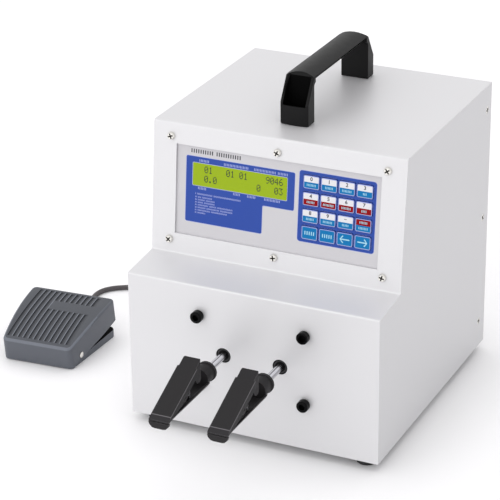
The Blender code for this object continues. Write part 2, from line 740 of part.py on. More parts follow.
def rear_chassis():
    """Base plate, rear panel and the panel's side flanges, which close the shell."""
    half = HOUSING_WIDTH / 2 - SHEET - GAP
    front = SHEET + GAP
    top = HOUSING_TOP - SHEET - GAP
    base_low = HOUSING_BOTTOM
    base_top = base_low + SHEET
    rear_front = HOUSING_DEPTH - SHEET
    fold = fillet(
        [(front, base_low), (HOUSING_DEPTH, base_low), (HOUSING_DEPTH, top), (rear_front, top),
         (rear_front, base_top), (front, base_top)],
        [0, BEND_RADIUS, 0, 0, BEND_RADIUS - SHEET, 0], 2,
    )
    chassis = plate("rear_chassis", [fold], -half - OVERRUN, half + OVERRUN, SIDE_VIEW,
                    BARE_SHEET)
    rear_outline = fillet([(-half, 0), (half, 0), (half, top), (-half, top)],
                          [0, 0, CHASSIS_CORNER, CHASSIS_CORNER])
    base_outline = fillet([(-half, front), (half, front), (half, HOUSING_DEPTH + OVERRUN),
                           (-half, HOUSING_DEPTH + OVERRUN)],
                          [CHASSIS_CORNER, CHASSIS_CORNER, 0, 0])
    for limit in (plate("limit", [rear_outline], -HOUSING_DEPTH - OVERRUN, OVERRUN, FRONT_VIEW),
                  plate("limit", [base_outline], 0, HOUSING_TOP, Matrix())):
        chassis = combine(chassis, [limit], "INTERSECT")
    flanges = []
    for side_of in (-1, 1):
        outer = side_of * (half - CHASSIS_INSET)
        inner = outer - side_of * SHEET
        outline = rectangle(HOUSING_DEPTH - CHASSIS_FLANGE, HOUSING_DEPTH - SHEET / 2,
                            base_low + SHEET / 2, top - CHASSIS_CORNER)
        flanges.append(plate("flange", [outline], min(outer, inner), max(outer, inner), SIDE_VIEW))
    chassis = join(chassis, *flanges)
    cuts = [rod("stem_hole", FOOT_STEM_RADIUS + GAP, base_low - OVERRUN, base_top + OVERRUN,
                shift(x, y, 0), steps=SCREW_STEPS) for x, y in foot_places().values()]
    inlet_half = INLET_BODY_WIDTH / 2 + GAP
    inlet_high = INLET_BODY_HEIGHT / 2 + GAP
    holes = [
        rectangle(-INLET_CENTRE_X - inlet_half, -INLET_CENTRE_X + inlet_half,
                  INLET_CENTRE_Z - inlet_high, INLET_CENTRE_Z + inlet_high),
        circle(GLAND_NECK_RADIUS + GAP, (-GLAND_CENTRE_X, GLAND_HEIGHT), SCREW_STEPS),
    ]
    for side_of in (-1, 1):
        for row in range(VENT_COUNT):
            x = side_of * VENT_CENTRE_X
            z = VENT_CENTRE_Z + (row - (VENT_COUNT - 1) / 2) * VENT_PITCH
            holes.append(rectangle(x - VENT_LENGTH / 2, x + VENT_LENGTH / 2,
                                   z - VENT_HEIGHT / 2, z + VENT_HEIGHT / 2))
    cuts += [plate("hole", [hole], rear_front - OVERRUN, HOUSING_DEPTH + OVERRUN, REAR_VIEW)
             for hole in holes]
    return cut(chassis, *cuts)


def feet():
    """Four rubber feet with their stems in the base plate."""
    top = HOUSING_BOTTOM - GAP
    profile = [
        (0, HOUSING_BOTTOM + SHEET),
        (FOOT_STEM_RADIUS, HOUSING_BOTTOM + SHEET),
        (FOOT_STEM_RADIUS, top),
        (FOOT_TOP_RADIUS, top),
        (FOOT_RADIUS, FOOT_EDGE),
        (FOOT_RADIUS - FOOT_EDGE, 0),
        (0, 0),
    ]
    for name, (x, y) in foot_places().items():
        turned("foot_" + name, profile, shift(x, y, 0), RUBBER, SCREW_STEPS)


# Controls
def control_plate():
    """The plate behind the opening, with the window and the key holes."""
    half = PANEL_SCREW_X + CONTROL_PLATE_SIDE
    outline = rectangle(-half, half, PANEL_SCREW_LOW - CONTROL_PLATE_STRIP,
                        PANEL_SCREW_HIGH + CONTROL_PLATE_STRIP, CONTROL_PLATE_CORNER)
    holes = [display_outline(0)]
    for x, up in key_centres():
        holes.append(rectangle(x - KEY_WIDTH / 2 - GAP, x + KEY_WIDTH / 2 + GAP,
                               up - KEY_HEIGHT / 2 - GAP, up + KEY_HEIGHT / 2 + GAP))
    for x in (-PANEL_SCREW_X, 0, PANEL_SCREW_X):
        for up in (PANEL_SCREW_LOW, PANEL_SCREW_HIGH):
            holes.append(circle(PANEL_SCREW_RADIUS + GAP, (x, up), SMALL_STEPS))
    plate("control_plate", [outline, *holes], -CONTROL_PLATE_BACK, -CONTROL_PLATE_FRONT,
          PANEL_VIEW, GREY_PLATE)


def display_outline(margin):
    """The display's window, made larger by a margin."""
    return rectangle(DISPLAY_LEFT - margin, DISPLAY_RIGHT + margin,
                     DISPLAY_LOW - margin, DISPLAY_HIGH + margin)


def lcd_module():
    """The display: circuit board, metal frame and the glass in the window."""
    frame_front = -CONTROL_PLATE_BACK - GAP
    frame_back = frame_front - DISPLAY_FRAME_DEPTH
    glass = plate("lcd_module", [display_outline(-GAP)], frame_front - JOIN_OVERLAP,
                  -CONTROL_PLATE_FRONT - DISPLAY_RECESS, PANEL_VIEW, GREEN_GLASS)
    frame = plate("frame", [display_outline(DISPLAY_FRAME_MARGIN)], frame_back, frame_front,
                  PANEL_VIEW)
    board = plate("board", [display_outline(DISPLAY_BOARD_MARGIN)],
                  frame_back - DISPLAY_BOARD_THICKNESS, frame_back + JOIN_OVERLAP, PANEL_VIEW)
    return join(glass, frame, board)


def key_centres():
    """The keys' middles on the panel, left to right and from the top row down."""
    return [
        (KEYPAD_CENTRE_X + (column - (KEY_COLUMNS - 1) / 2) * KEY_PITCH_X,
         KEYPAD_CENTRE_UP - (row - (KEY_ROWS - 1) / 2) * KEY_PITCH_UP)
        for row in range(KEY_ROWS)
        for column in range(KEY_COLUMNS)
    ]


def keys():
    """Sixteen keys that slide in the plate's holes and press on the board's domes."""
    half_x, half_up = KEY_WIDTH / 2, KEY_HEIGHT / 2
    top = KEY_PROUD
    bottom = KEY_PROUD - KEY_DEPTH
    for number, (x, up) in enumerate(key_centres(), start=1):
        row = (number - 1) // KEY_COLUMNS
        place = PANEL_VIEW @ shift(x, up, -CONTROL_PLATE_FRONT)
        corners = [(-half_x, -half_up), (half_x, -half_up), (half_x, half_up), (-half_x, half_up)]
        outline = fillet(corners, KEY_CORNER, KEY_CORNER_STEPS)
        key = plate(f"key_{number}", [outline], bottom, top, place,
                    RED_KEY if row % 2 else CYAN_KEY)
        recentre(key, place)


def control_board():
    """The board behind the keys, on four pillars from the control plate."""
    front = -CONTROL_PLATE_FRONT + KEY_PROUD - KEY_DEPTH - KEY_TRAVEL - GAP
    back = front - BOARD_THICKNESS
    half_x = KEY_COLUMNS * KEY_PITCH_X / 2 + BOARD_MARGIN
    half_up = KEY_ROWS * KEY_PITCH_UP / 2 + BOARD_MARGIN
    low = KEYPAD_CENTRE_UP - half_up
    high = KEYPAD_CENTRE_UP + half_up
    outline = rectangle(KEYPAD_CENTRE_X - half_x, KEYPAD_CENTRE_X + half_x, low, high)
    board = plate("control_board", [outline], back, front, PANEL_VIEW, GREEN_BOARD)
    pillars = []
    reach_x = half_x - PILLAR_RADIUS - GAP
    reach_up = half_up - PILLAR_RADIUS - GAP
    for x in (-reach_x, reach_x):
        for up in (-reach_up, reach_up):
            at = PANEL_VIEW @ shift(KEYPAD_CENTRE_X + x, KEYPAD_CENTRE_UP + up, 0)
            pillars.append(rod("pillar", PILLAR_RADIUS, back + BOARD_THICKNESS / 2,
                               -CONTROL_PLATE_BACK - GAP, at, steps=SMALL_STEPS))
    return join(board, *pillars)


def panel_screws():
    """Pan-head screws with a cross recess."""
    names = ("top_left", "top_middle", "top_right",
             "bottom_left", "bottom_middle", "bottom_right")
    seat = GAP
    head_top = seat + PANEL_SCREW_HEAD_HEIGHT
    shoulder = seat + PANEL_SCREW_HEAD_EDGE
    profile = [
        (0, head_top),
        (PANEL_SCREW_FLAT_RADIUS, head_top),
        (PANEL_SCREW_HEAD_RADIUS, shoulder),
        (PANEL_SCREW_HEAD_RADIUS, seat),
        (PANEL_SCREW_RADIUS, seat),
        (PANEL_SCREW_RADIUS, -PANEL_SCREW_LENGTH),
        (0, -PANEL_SCREW_LENGTH),
    ]
    reach = PANEL_SCREW_RECESS_LENGTH / 2
    width = PANEL_SCREW_RECESS_WIDTH / 2
    quarter = [(width, width), (width, reach), (-width, reach)]
    cross = []
    for step in range(4):
        turn = Matrix.Rotation(step * math.pi / 2, 2)
        cross.extend(tuple(turn @ Vector(corner)) for corner in quarter)
    floor = head_top - PANEL_SCREW_RECESS_DEPTH
    for name, place in zip(names, panel_screw_places()):
        screw = turned("panel_screw_" + name, profile, place, NICKEL, SMALL_STEPS)
        cut(screw, plate("cross", [cross], floor, head_top + OVERRUN, place))


# Spindle drive
def drive_frame():
    """The cast frame: front plate with bearing seats, four posts and a rear plate."""
    half_x = CAP_SCREW_X + FRAME_MARGIN
    half_z = FRAME_HEIGHT / 2
    outline = rectangle(-half_x, half_x, CAP_SCREW_Z - half_z, CAP_SCREW_Z + half_z, FRAME_CORNER)
    seats = [
        circle(BEARING_RADIUS + GAP, (x, SPINDLE_Z), BEARING_STEPS)
        for x in (-SPINDLE_OFFSET, SPINDLE_OFFSET)
    ]
    screws = [
        (x, CAP_SCREW_Z + z)
        for x in (-CAP_SCREW_X, CAP_SCREW_X)
        for z in (-CAP_SCREW_SPREAD / 2, CAP_SCREW_SPREAD / 2)
    ]
    frame = plate("drive_frame", [outline, *seats], -FRAME_BACK, -FRAME_FRONT,
                  FRONT_VIEW, CAST_METAL)
    journals = [
        circle(SPINDLE_RADIUS + GAP, (x, SPINDLE_Z), SCREW_STEPS)
        for x in (-SPINDLE_OFFSET, SPINDLE_OFFSET)
    ]
    pinion_hole = circle(MOTOR_BOSS_RADIUS + GAP, (0, SPINDLE_Z))
    rear = plate("rear_plate", [outline, *journals, pinion_hole], -FRAME_REAR_BACK,
                 -FRAME_REAR_FRONT, FRONT_VIEW)
    posts = [
        rod("post", FRAME_POST_RADIUS, -FRAME_REAR_FRONT - JOIN_OVERLAP,
            -FRAME_BACK + JOIN_OVERLAP, shift(x, 0, z) @ FRONT_VIEW, steps=SCREW_STEPS)
        for x, z in screws
    ]
    frame = join(frame, *posts, rear)
    threads = [
        rod("thread", CAP_SCREW_RADIUS + GAP, -CAP_SCREW_LENGTH - GAP, -FRAME_FRONT + OVERRUN,
            shift(x, 0, z) @ FRONT_VIEW, steps=SCREW_STEPS)
        for x, z in screws
    ]
    return cut(frame, *threads)


def bearings():
    """Sealed ball bearings in the frame's front plate."""
    front = -BEARING_SETBACK
    back = front - BEARING_WIDTH
    inner = SPINDLE_RADIUS + GAP
    profile = [
        (inner, front),
        (BEARING_SEAL_INNER, front),
        (BEARING_SEAL_INNER, front - BEARING_SEAL_DEPTH),
        (BEARING_SEAL_OUTER, front - BEARING_SEAL_DEPTH),
        (BEARING_SEAL_OUTER, front),
        (BEARING_RADIUS, front),
        (BEARING_RADIUS, back),
        (inner, back),
    ]
    for name, x in (("left", -SPINDLE_OFFSET), ("right", SPINDLE_OFFSET)):
        turned("bearing_" + name, profile, shift(x, 0, SPINDLE_Z) @ FRONT_VIEW, BLACK_STEEL,
               BEARING_STEPS, ring=True)


def cap_screws():
    """Socket cap screws that hold the drive frame."""
    names = ("upper_left", "upper_right", "lower_left", "lower_right")
    top = GAP + CAP_SCREW_HEAD_HEIGHT
    profile = [
        (0, top),
        (CAP_SCREW_HEAD_RADIUS - CAP_SCREW_HEAD_EDGE, top),
        (CAP_SCREW_HEAD_RADIUS, top - CAP_SCREW_HEAD_EDGE),
        (CAP_SCREW_HEAD_RADIUS, GAP),
        (CAP_SCREW_RADIUS, GAP),
        (CAP_SCREW_RADIUS, -CAP_SCREW_LENGTH),
        (0, -CAP_SCREW_LENGTH),
    ]
    for name, place in zip(names, cap_screw_places()):
        screw = turned("cap_screw_" + name, profile, place, BLACK_STEEL)
        cut(screw, rod("hexagon", CAP_SCREW_SOCKET_RADIUS, top - CAP_SCREW_SOCKET_DEPTH,
                       top + OVERRUN, place, steps=6))


def involute(base_radius, radius):
    """The polar angle of an involute of the base circle where it crosses a radius."""
    turn = math.sqrt(max((radius / base_radius) ** 2 - 1, 0))
    return turn - math.atan(turn)


def gear_outline(teeth, turn):
    """An involute gear's outline with one tooth centred on the turn angle."""
    pitch_radius = GEAR_MODULE * teeth / 2
    base_radius = pitch_radius * math.cos(PRESSURE_ANGLE)
    tip_radius = pitch_radius + GEAR_MODULE
    root_radius = pitch_radius - GEAR_MODULE * GEAR_ROOT_SHARE
    half_tooth = (math.pi * GEAR_MODULE - GEAR_BACKLASH) / (4 * pitch_radius)
    half_at_base = half_tooth + involute(base_radius, pitch_radius)
    start = max(base_radius, root_radius)
    flank = []
    if start - root_radius > GEAR_ROOT_STEP:
        flank.append((root_radius, half_at_base - involute(base_radius, start)))
    for step in range(FLANK_STEPS + 1):
        radius = start + (tip_radius - start) * step / FLANK_STEPS
        reach = radius if step or flank else root_radius
        flank.append((reach, half_at_base - involute(base_radius, radius)))
    outline = []
    for tooth in range(teeth):
        middle = turn + math.tau * tooth / teeth
        for radius, half in flank:
            outline.append((radius * math.cos(middle - half), radius * math.sin(middle - half)))
        for radius, half in reversed(flank):
            outline.append((radius * math.cos(middle + half), radius * math.sin(middle + half)))
    return outline


def spindle_set(name, x, tooth_turn):
    """A spindle with its collar, and its gear with the hub."""
    place = shift(x, 0, SPINDLE_Z) @ FRONT_VIEW
    collar_front = -BEARING_SETBACK - BEARING_WIDTH - GAP
    collar_back = -GEAR_FRONT + GAP
    profile = [
        (0, CLIP_REAR + CLIP_SHAFT_DEPTH - GAP),
        (SPINDLE_RADIUS, CLIP_REAR + CLIP_SHAFT_DEPTH - GAP),
        (SPINDLE_RADIUS, collar_front),
        (SPINDLE_COLLAR_RADIUS, collar_front),
        (SPINDLE_COLLAR_RADIUS, collar_back),
        (SPINDLE_RADIUS, collar_back),
        (SPINDLE_RADIUS, -FRAME_REAR_BACK - GAP),
        (0, -FRAME_REAR_BACK - GAP),
    ]
    turned("spindle_" + name, profile, place, STEEL)
    hub_end = -GEAR_FRONT - GEAR_WIDTH - GEAR_HUB_WIDTH
    gear = plate("gear_" + name, [gear_outline(GEAR_TEETH, tooth_turn)],
                 -GEAR_FRONT - GEAR_WIDTH, -GEAR_FRONT, place, GEAR_STEEL)
    recentre(gear, place)
    gear = join(gear, rod("hub", GEAR_HUB_RADIUS, hub_end, -GEAR_FRONT - GEAR_WIDTH / 2, place))
    cut(gear, rod("bore", SPINDLE_RADIUS + GAP, hub_end - OVERRUN, -GEAR_FRONT + OVERRUN, place))


def pinion():
    """The motor's pinion in one piece with the motor shaft."""
    place = shift(0, 0, SPINDLE_Z) @ FRONT_VIEW
    front = -GEAR_FRONT + (PINION_WIDTH - GEAR_WIDTH) / 2
    gap_turn = math.pi / PINION_TEETH
    gear = plate("pinion", [gear_outline(PINION_TEETH, gap_turn)], front - PINION_WIDTH, front,
                 place, GEAR_STEEL)
    recentre(gear, place)
    shaft_end = -motor_front() - MOTOR_BORE_DEPTH + GAP
    join(gear, rod("shaft", MOTOR_SHAFT_RADIUS, shaft_end, front - PINION_WIDTH / 2, place))


def motor_front():
    """The plane of the motor's front face, behind the drive frame."""
    return FRAME_REAR_BACK + GAP


def motor():
    """The motor: a round can with its centring boss, end bell and tail bearing."""
    front = -motor_front()
    back = front - MOTOR_LENGTH
    bore = MOTOR_SHAFT_RADIUS + GAP
    profile = [
        (0, front - MOTOR_BORE_DEPTH),
        (bore, front - MOTOR_BORE_DEPTH),
        (bore, front + MOTOR_BOSS_LENGTH),
        (MOTOR_BOSS_RADIUS, front + MOTOR_BOSS_LENGTH),
        (MOTOR_BOSS_RADIUS, front),
        (MOTOR_RADIUS - MOTOR_CAN_STEP, front),
        (MOTOR_RADIUS, front - MOTOR_CAN_STEP),
        (MOTOR_RADIUS, back + MOTOR_CAP_LENGTH),
        (MOTOR_RADIUS - MOTOR_CAN_STEP, back + MOTOR_CAP_LENGTH),
        (MOTOR_CAP_RADIUS, back),
        (MOTOR_TAIL_RADIUS, back),
        (MOTOR_TAIL_RADIUS, back - MOTOR_TAIL_LENGTH),
        (0, back - MOTOR_TAIL_LENGTH),
    ]
    turned("motor", profile, shift(0, 0, SPINDLE_Z) @ FRONT_VIEW, BLACK_STEEL, MOTOR_STEPS)


# Spindle clips
def clip_body(name, x):
    """The lower jaw: a boss on the spindle, a half-round trough, its lip and the hinge lugs."""
    place = shift(x, 0, SPINDLE_Z) @ FRONT_VIEW
    boss_front = CLIP_REAR + CLIP_BOSS_LENGTH
    boss = turned("clip_body_" + name, [
        (0, boss_front),
        (CLIP_BOSS_RADIUS, boss_front),
        (CLIP_BOSS_RADIUS, CLIP_REAR + CLIP_FLANGE_WIDTH),
        (CLIP_FLANGE_RADIUS, CLIP_REAR + CLIP_FLANGE_WIDTH),
        (CLIP_FLANGE_RADIUS, CLIP_REAR),
        (0, CLIP_REAR),
    ], place, CHARCOAL_PLASTIC)
    tilt = math.asin(CLIP_RIM_BELOW / CLIP_TROUGH_RADIUS)
    inner = CLIP_TROUGH_RADIUS - CLIP_WALL
    inner_tilt = math.asin(CLIP_RIM_BELOW / inner)
    section = arc(CLIP_TROUGH_RADIUS, math.pi + tilt, math.tau - tilt, TROUGH_STEPS)
    section += arc(inner, math.tau - inner_tilt, math.pi + inner_tilt, TROUGH_STEPS)
    trough = plate("trough", [section], boss_front - 2 * JOIN_OVERLAP,
                   CLIP_FRONT - CLIP_LIP_THICKNESS / 2, place)
    half = LEVER_WIDTH / 2
    lip_outline = fillet(
        [(-half, -CLIP_LIP_TOP_BELOW), (-half, -CLIP_LIP_BELOW),
         (half, -CLIP_LIP_BELOW), (half, -CLIP_LIP_TOP_BELOW)],
        [0, CLIP_LIP_CORNER, CLIP_LIP_CORNER, 0],
    )
    lip = plate("lip", [lip_outline], CLIP_FRONT - CLIP_LIP_THICKNESS, CLIP_FRONT, place)
    spigot = rod("spigot", CLIP_SPIGOT_RADIUS, -inner - CLIP_WALL / 2,
                 -inner + CLIP_SPRING_FLOOR + CLIP_SPIGOT_HEIGHT,
                 shift(x, -CLIP_SPRING_FORWARD, SPINDLE_Z), steps=SCREW_STEPS)
    floor = rod("spring_floor", CLIP_SEAT_RADIUS, -inner - CLIP_WALL / 2,
                -inner + CLIP_SPRING_FLOOR, shift(x, -CLIP_SPRING_FORWARD, SPINDLE_Z),
                steps=SCREW_STEPS)
    lug_outer = LEVER_WIDTH / 2 - LEVER_THICKNESS - GAP
    lug_inner = lug_outer - CLIP_WALL
    rim = -CLIP_RIM_BELOW
    foot_half = PIVOT_LUG_SPREAD
    lug_outline = [(PIVOT_FORWARD - foot_half, rim - CLIP_WALL),
                   (PIVOT_FORWARD + foot_half, rim - CLIP_WALL)]
    lug_outline += arc(PIVOT_LUG_RADIUS, 0, math.pi, CROWN_STEPS, (PIVOT_FORWARD, PIVOT_ABOVE))
    across = shift(x, 0, SPINDLE_Z) @ FORWARD_VIEW
    lugs = [
        plate("lug", [lug_outline], lug_inner, lug_outer, across),
        plate("lug", [lug_outline], -lug_outer, -lug_inner, across),
    ]
    pin = rod("pin", PIVOT_PIN_RADIUS, -PIVOT_PIN_LENGTH / 2, PIVOT_PIN_LENGTH / 2,
              across @ shift(PIVOT_FORWARD, PIVOT_ABOVE, 0), steps=SCREW_STEPS)
    body = join(boss, trough, lip, floor, spigot, *lugs, pin)
    slope_start = CLIP_FRONT - CLIP_RIM_DROP_START
    wedge = [(slope_start, rim), (CLIP_FRONT + OVERRUN, rim - CLIP_RIM_DROP),
             (CLIP_FRONT + OVERRUN, rim + OVERRUN), (slope_start, rim + OVERRUN)]
    cut(body,
        rod("shaft_bore", SPINDLE_RADIUS + GAP, CLIP_REAR - OVERRUN,
            CLIP_REAR + CLIP_SHAFT_DEPTH, place),
        plate("rim_slope", [wedge], -half - OVERRUN, half + OVERRUN, across))


def lever_top(forward):
    """The height of the lever's top line above the spindle axis."""
    slope = (LEVER_REAR_ABOVE - LEVER_FRONT_ABOVE) / LEVER_LENGTH
    return LEVER_REAR_ABOVE - slope * (forward - LEVER_REAR)


def lever_below(forward, depth):
    """A point of the side view, so far below the lever's top line."""
    return (forward, lever_top(forward) - depth)


def clip_lever(name, x):
    """The upper jaw: a channel with hinge ears, narrower at its rear, where it is pressed."""
    across = shift(x, 0, SPINDLE_Z) @ FORWARD_VIEW
    front = LEVER_FRONT
    narrow_end = LEVER_REAR + LEVER_REAR_LENGTH
    thick = LEVER_THICKNESS / math.cos(math.atan2(LEVER_REAR_ABOVE - LEVER_FRONT_ABOVE,
                                                  LEVER_LENGTH))
    wall = LEVER_WALL_HEIGHT
    tip = LEVER_TIP_LENGTH
    ear = arc(LEVER_EAR_RADIUS, LEVER_EAR_START_ANGLE, LEVER_EAR_END_ANGLE, CROWN_STEPS,
              (PIVOT_FORWARD, PIVOT_ABOVE))
    outline = [
        lever_below(narrow_end, 0), lever_below(narrow_end, wall),
        lever_below(PIVOT_FORWARD - 2 * LEVER_EAR_RADIUS, wall), *reversed(ear),
        lever_below(PIVOT_FORWARD + 2 * LEVER_EAR_RADIUS, wall),
        lever_below(front - tip, thick + LEVER_THICKNESS), lever_below(front, thick),
        lever_below(front, 0),
    ]
    half = LEVER_WIDTH / 2
    lever = plate("clip_lever_" + name, [outline], -half, half, across, CHARCOAL_PLASTIC)
    cheek_end = LEVER_REAR + LEVER_CHEEK_LENGTH
    rear_end = narrow_end + 2 * JOIN_OVERLAP
    rear_outline = fillet(
        [lever_below(LEVER_REAR, 0), lever_below(LEVER_REAR, wall),
         (LEVER_REAR + LEVER_THICKNESS, LEVER_CHEEK_BOTTOM),
         (cheek_end, LEVER_CHEEK_BOTTOM), lever_below(rear_end, wall), lever_below(rear_end, 0)],
        [LEVER_THICKNESS / 2, 0, LEVER_CHEEK_CORNER, LEVER_CHEEK_CORNER, 0, 0],
    )
    rear_half = LEVER_REAR_WIDTH / 2
    rear = plate("lever_rear", [rear_outline], -rear_half, rear_half, across)
    lever = join(lever, rear)
    inner = [
        lever_below(rear_end - JOIN_OVERLAP, thick), lever_below(front + OVERRUN, thick),
        (front + OVERRUN, -CLIP_TROUGH_RADIUS - OVERRUN),
        (rear_end - JOIN_OVERLAP, -CLIP_TROUGH_RADIUS - OVERRUN),
    ]
    inner_half = half - LEVER_THICKNESS
    rear_inner = [
        lever_below(LEVER_REAR + LEVER_THICKNESS, thick), lever_below(rear_end, thick),
        (rear_end, -CLIP_TROUGH_RADIUS - OVERRUN),
        (LEVER_REAR + LEVER_THICKNESS, -CLIP_TROUGH_RADIUS - OVERRUN),
    ]
    rear_inner_half = rear_half - LEVER_THICKNESS
    channel = plate("channel", [inner], -inner_half, inner_half, across)
    rear_channel = plate("channel", [rear_inner], -rear_inner_half, rear_inner_half, across)
    pin_hole = rod("pin_hole", PIVOT_PIN_RADIUS + GAP, -half - OVERRUN, half + OVERRUN,
                   across @ shift(PIVOT_FORWARD, PIVOT_ABOVE, 0), steps=SCREW_STEPS)
    lever = combine(lever, [channel, rear_channel], "DIFFERENCE")
    lever = cut(lever, pin_hole)
    seat = rod("spring_seat", CLIP_SEAT_RADIUS, CLIP_SEAT_HEIGHT, LEVER_REAR_ABOVE,
               shift(x, -CLIP_SPRING_FORWARD, SPINDLE_Z), steps=SCREW_STEPS)
    middle = LEVER_THICKNESS / 2
    under_top = plate("under_top", [[
        lever_below(narrow_end, middle), (narrow_end, PIVOT_ABOVE), (PIVOT_FORWARD, PIVOT_ABOVE),
        lever_below(PIVOT_FORWARD, middle),
    ]], -half, half, across)
    seat = combine(seat, [under_top], "INTERSECT")
    lever = join(lever, seat)
    recentre(lever, shift(x, -PIVOT_FORWARD, SPINDLE_Z + PIVOT_ABOVE))


def tube(name, points, radius, place, material, resolution=1):
    """A round tube along the points, with closed ends."""
    line = bpy.data.curves.new(name, "CURVE")
    line.dimensions = "3D"
    line.fill_mode = "FULL"
    line.bevel_depth = radius
    line.bevel_resolution = resolution
    line.use_fill_caps = True
    spline = line.splines.new("POLY")
    spline.points.add(len(points) - 1)
    for point, at in zip(spline.points, points):
        point.co = (*at, 1)
    return add_object(name, line, place, material)


def clip_spring(name, x):
    """The compression spring between the trough's floor and the lever's seat."""
    floor = -CLIP_TROUGH_RADIUS + CLIP_WALL + CLIP_SPRING_FLOOR
    low = floor + GAP + CLIP_SPRING_WIRE
    high = CLIP_SEAT_HEIGHT - GAP - CLIP_SPRING_WIRE
    count = CLIP_SPRING_TURNS * CLIP_SPRING_POINTS
    coil = []
    for step in range(count + 1):
        angle = math.tau * step / CLIP_SPRING_POINTS
        coil.append((CLIP_SPRING_RADIUS * math.cos(angle), CLIP_SPRING_RADIUS * math.sin(angle),
                     low + (high - low) * step / count))
    print(name, "least gap to itself", round((high - low) / CLIP_SPRING_TURNS
                                             - 2 * CLIP_SPRING_WIRE, 5))
    tube("clip_spring_" + name, coil, CLIP_SPRING_WIRE,
         shift(x, -CLIP_SPRING_FORWARD, SPINDLE_Z), STEEL)


# Handle
def handle():
    """The bridge handle: crowned bar, bowed legs, and ends that are open towards their screws."""
    low = HOUSING_TOP + GAP
    rear = HANDLE_LENGTH
    underside = HANDLE_HEIGHT - HANDLE_BAR_THICKNESS
    side = [
        (0, 0), (HANDLE_LEG, 0), (HANDLE_LEG, underside),
        (rear - HANDLE_LEG, underside), (rear - HANDLE_LEG, 0), (rear, 0),
        (rear, HANDLE_UPRIGHT), (rear - HANDLE_SLOPE, HANDLE_HEIGHT),
        (HANDLE_SLOPE, HANDLE_HEIGHT), (0, HANDLE_UPRIGHT),
    ]
    radii = [0, 0, HANDLE_INNER_CORNER, HANDLE_INNER_CORNER, 0, 0, 0, 0, 0, 0]
    half = HANDLE_WIDTH / 2
    at_front = shift(0, HANDLE_FRONT, low)
    body = plate("handle", [fillet(side, radii)], -half, half, at_front @ SIDE_VIEW,
                 BLACK_PLASTIC)
    crown_radius = (half ** 2 + HANDLE_CROWN ** 2) / (2 * HANDLE_CROWN)
    spread = math.asin(half / crown_radius)
    crown = arc(crown_radius, math.pi / 2 - spread, math.pi / 2 + spread, CROWN_STEPS,
                (0, HANDLE_HEIGHT - crown_radius))
    section = plate("section", [[(-half, -OVERRUN), (half, -OVERRUN), *crown]],
                    -rear - OVERRUN, OVERRUN, at_front @ FRONT_VIEW)
    body = combine(body, [section], "INTERSECT")
    bow_radius = (half ** 2 + HANDLE_BOW ** 2) / (2 * HANDLE_BOW)
    bow_spread = math.asin(half / bow_radius)
    front_bow = arc(bow_radius, -math.pi / 2 - bow_spread, -math.pi / 2 + bow_spread,
                    CROWN_STEPS, (0, bow_radius))
    rear_bow = arc(bow_radius, math.pi / 2 - bow_spread, math.pi / 2 + bow_spread,
                   CROWN_STEPS, (0, rear - bow_radius))
    plan = plate("plan", [[*front_bow, *rear_bow]], -OVERRUN, HANDLE_HEIGHT + OVERRUN, at_front)
    body = combine(body, [plan], "INTERSECT")
    roof = HANDLE_HEIGHT - HANDLE_POCKET_ROOF
    pocket = [
        (HANDLE_WALL, HANDLE_POCKET_FLOOR), (HANDLE_LEG - HANDLE_WALL, HANDLE_POCKET_FLOOR),
        (HANDLE_LEG - HANDLE_WALL, roof), (-OVERRUN, roof),
        (-OVERRUN, HANDLE_UPRIGHT), (HANDLE_WALL, HANDLE_UPRIGHT),
    ]
    mirrored = [(rear - y, z) for y, z in pocket]
    inner = half - HANDLE_WALL
    cuts = [plate("pocket", [outline], -inner, inner, at_front @ SIDE_VIEW)
            for outline in (pocket, mirrored)]
    bevel = HANDLE_BAR_BEVEL
    for side_of in (-1, 1):
        corner = [(side_of * (half - bevel), underside - GAP),
                  (side_of * (half + bevel), underside - GAP),
                  (side_of * (half + bevel), underside + 2 * bevel)]
        cuts.append(plate("bar_bevel", [corner], -rear + HANDLE_LEG + HANDLE_INNER_CORNER,
                          -HANDLE_LEG - HANDLE_INNER_CORNER, at_front @ FRONT_VIEW))
    cut(body, *cuts)


# Power supply and rear fittings
def power_supply():
    """The boxed supply on the base plate, with its lower terminal end."""
    bottom = HOUSING_BOTTOM + SHEET + GAP
    side = [
        (0, 0), (SUPPLY_DEPTH, 0), (SUPPLY_DEPTH, SUPPLY_HEIGHT),
        (SUPPLY_TERMINAL_DEPTH, SUPPLY_HEIGHT), (SUPPLY_TERMINAL_DEPTH, SUPPLY_TERMINAL_HEIGHT),
        (0, SUPPLY_TERMINAL_HEIGHT),
    ]
    middle = HOUSING_WIDTH / 2 - SUPPLY_SIDE_ROOM - SUPPLY_WIDTH / 2
    front = HOUSING_DEPTH - SHEET - SUPPLY_REAR_ROOM - SUPPLY_DEPTH
    place = shift(middle, front, bottom) @ SIDE_VIEW
    supply = plate("power_supply", [side], -SUPPLY_WIDTH / 2, SUPPLY_WIDTH / 2, place,
                   BARE_SHEET, clean=True)
    soften(supply, SUPPLY_EDGE, segments=1)


def inlet_view():
    """The power inlet's middle on the rear panel, seen from behind."""
    return shift(INLET_CENTRE_X, HOUSING_DEPTH, INLET_CENTRE_Z) @ REAR_VIEW


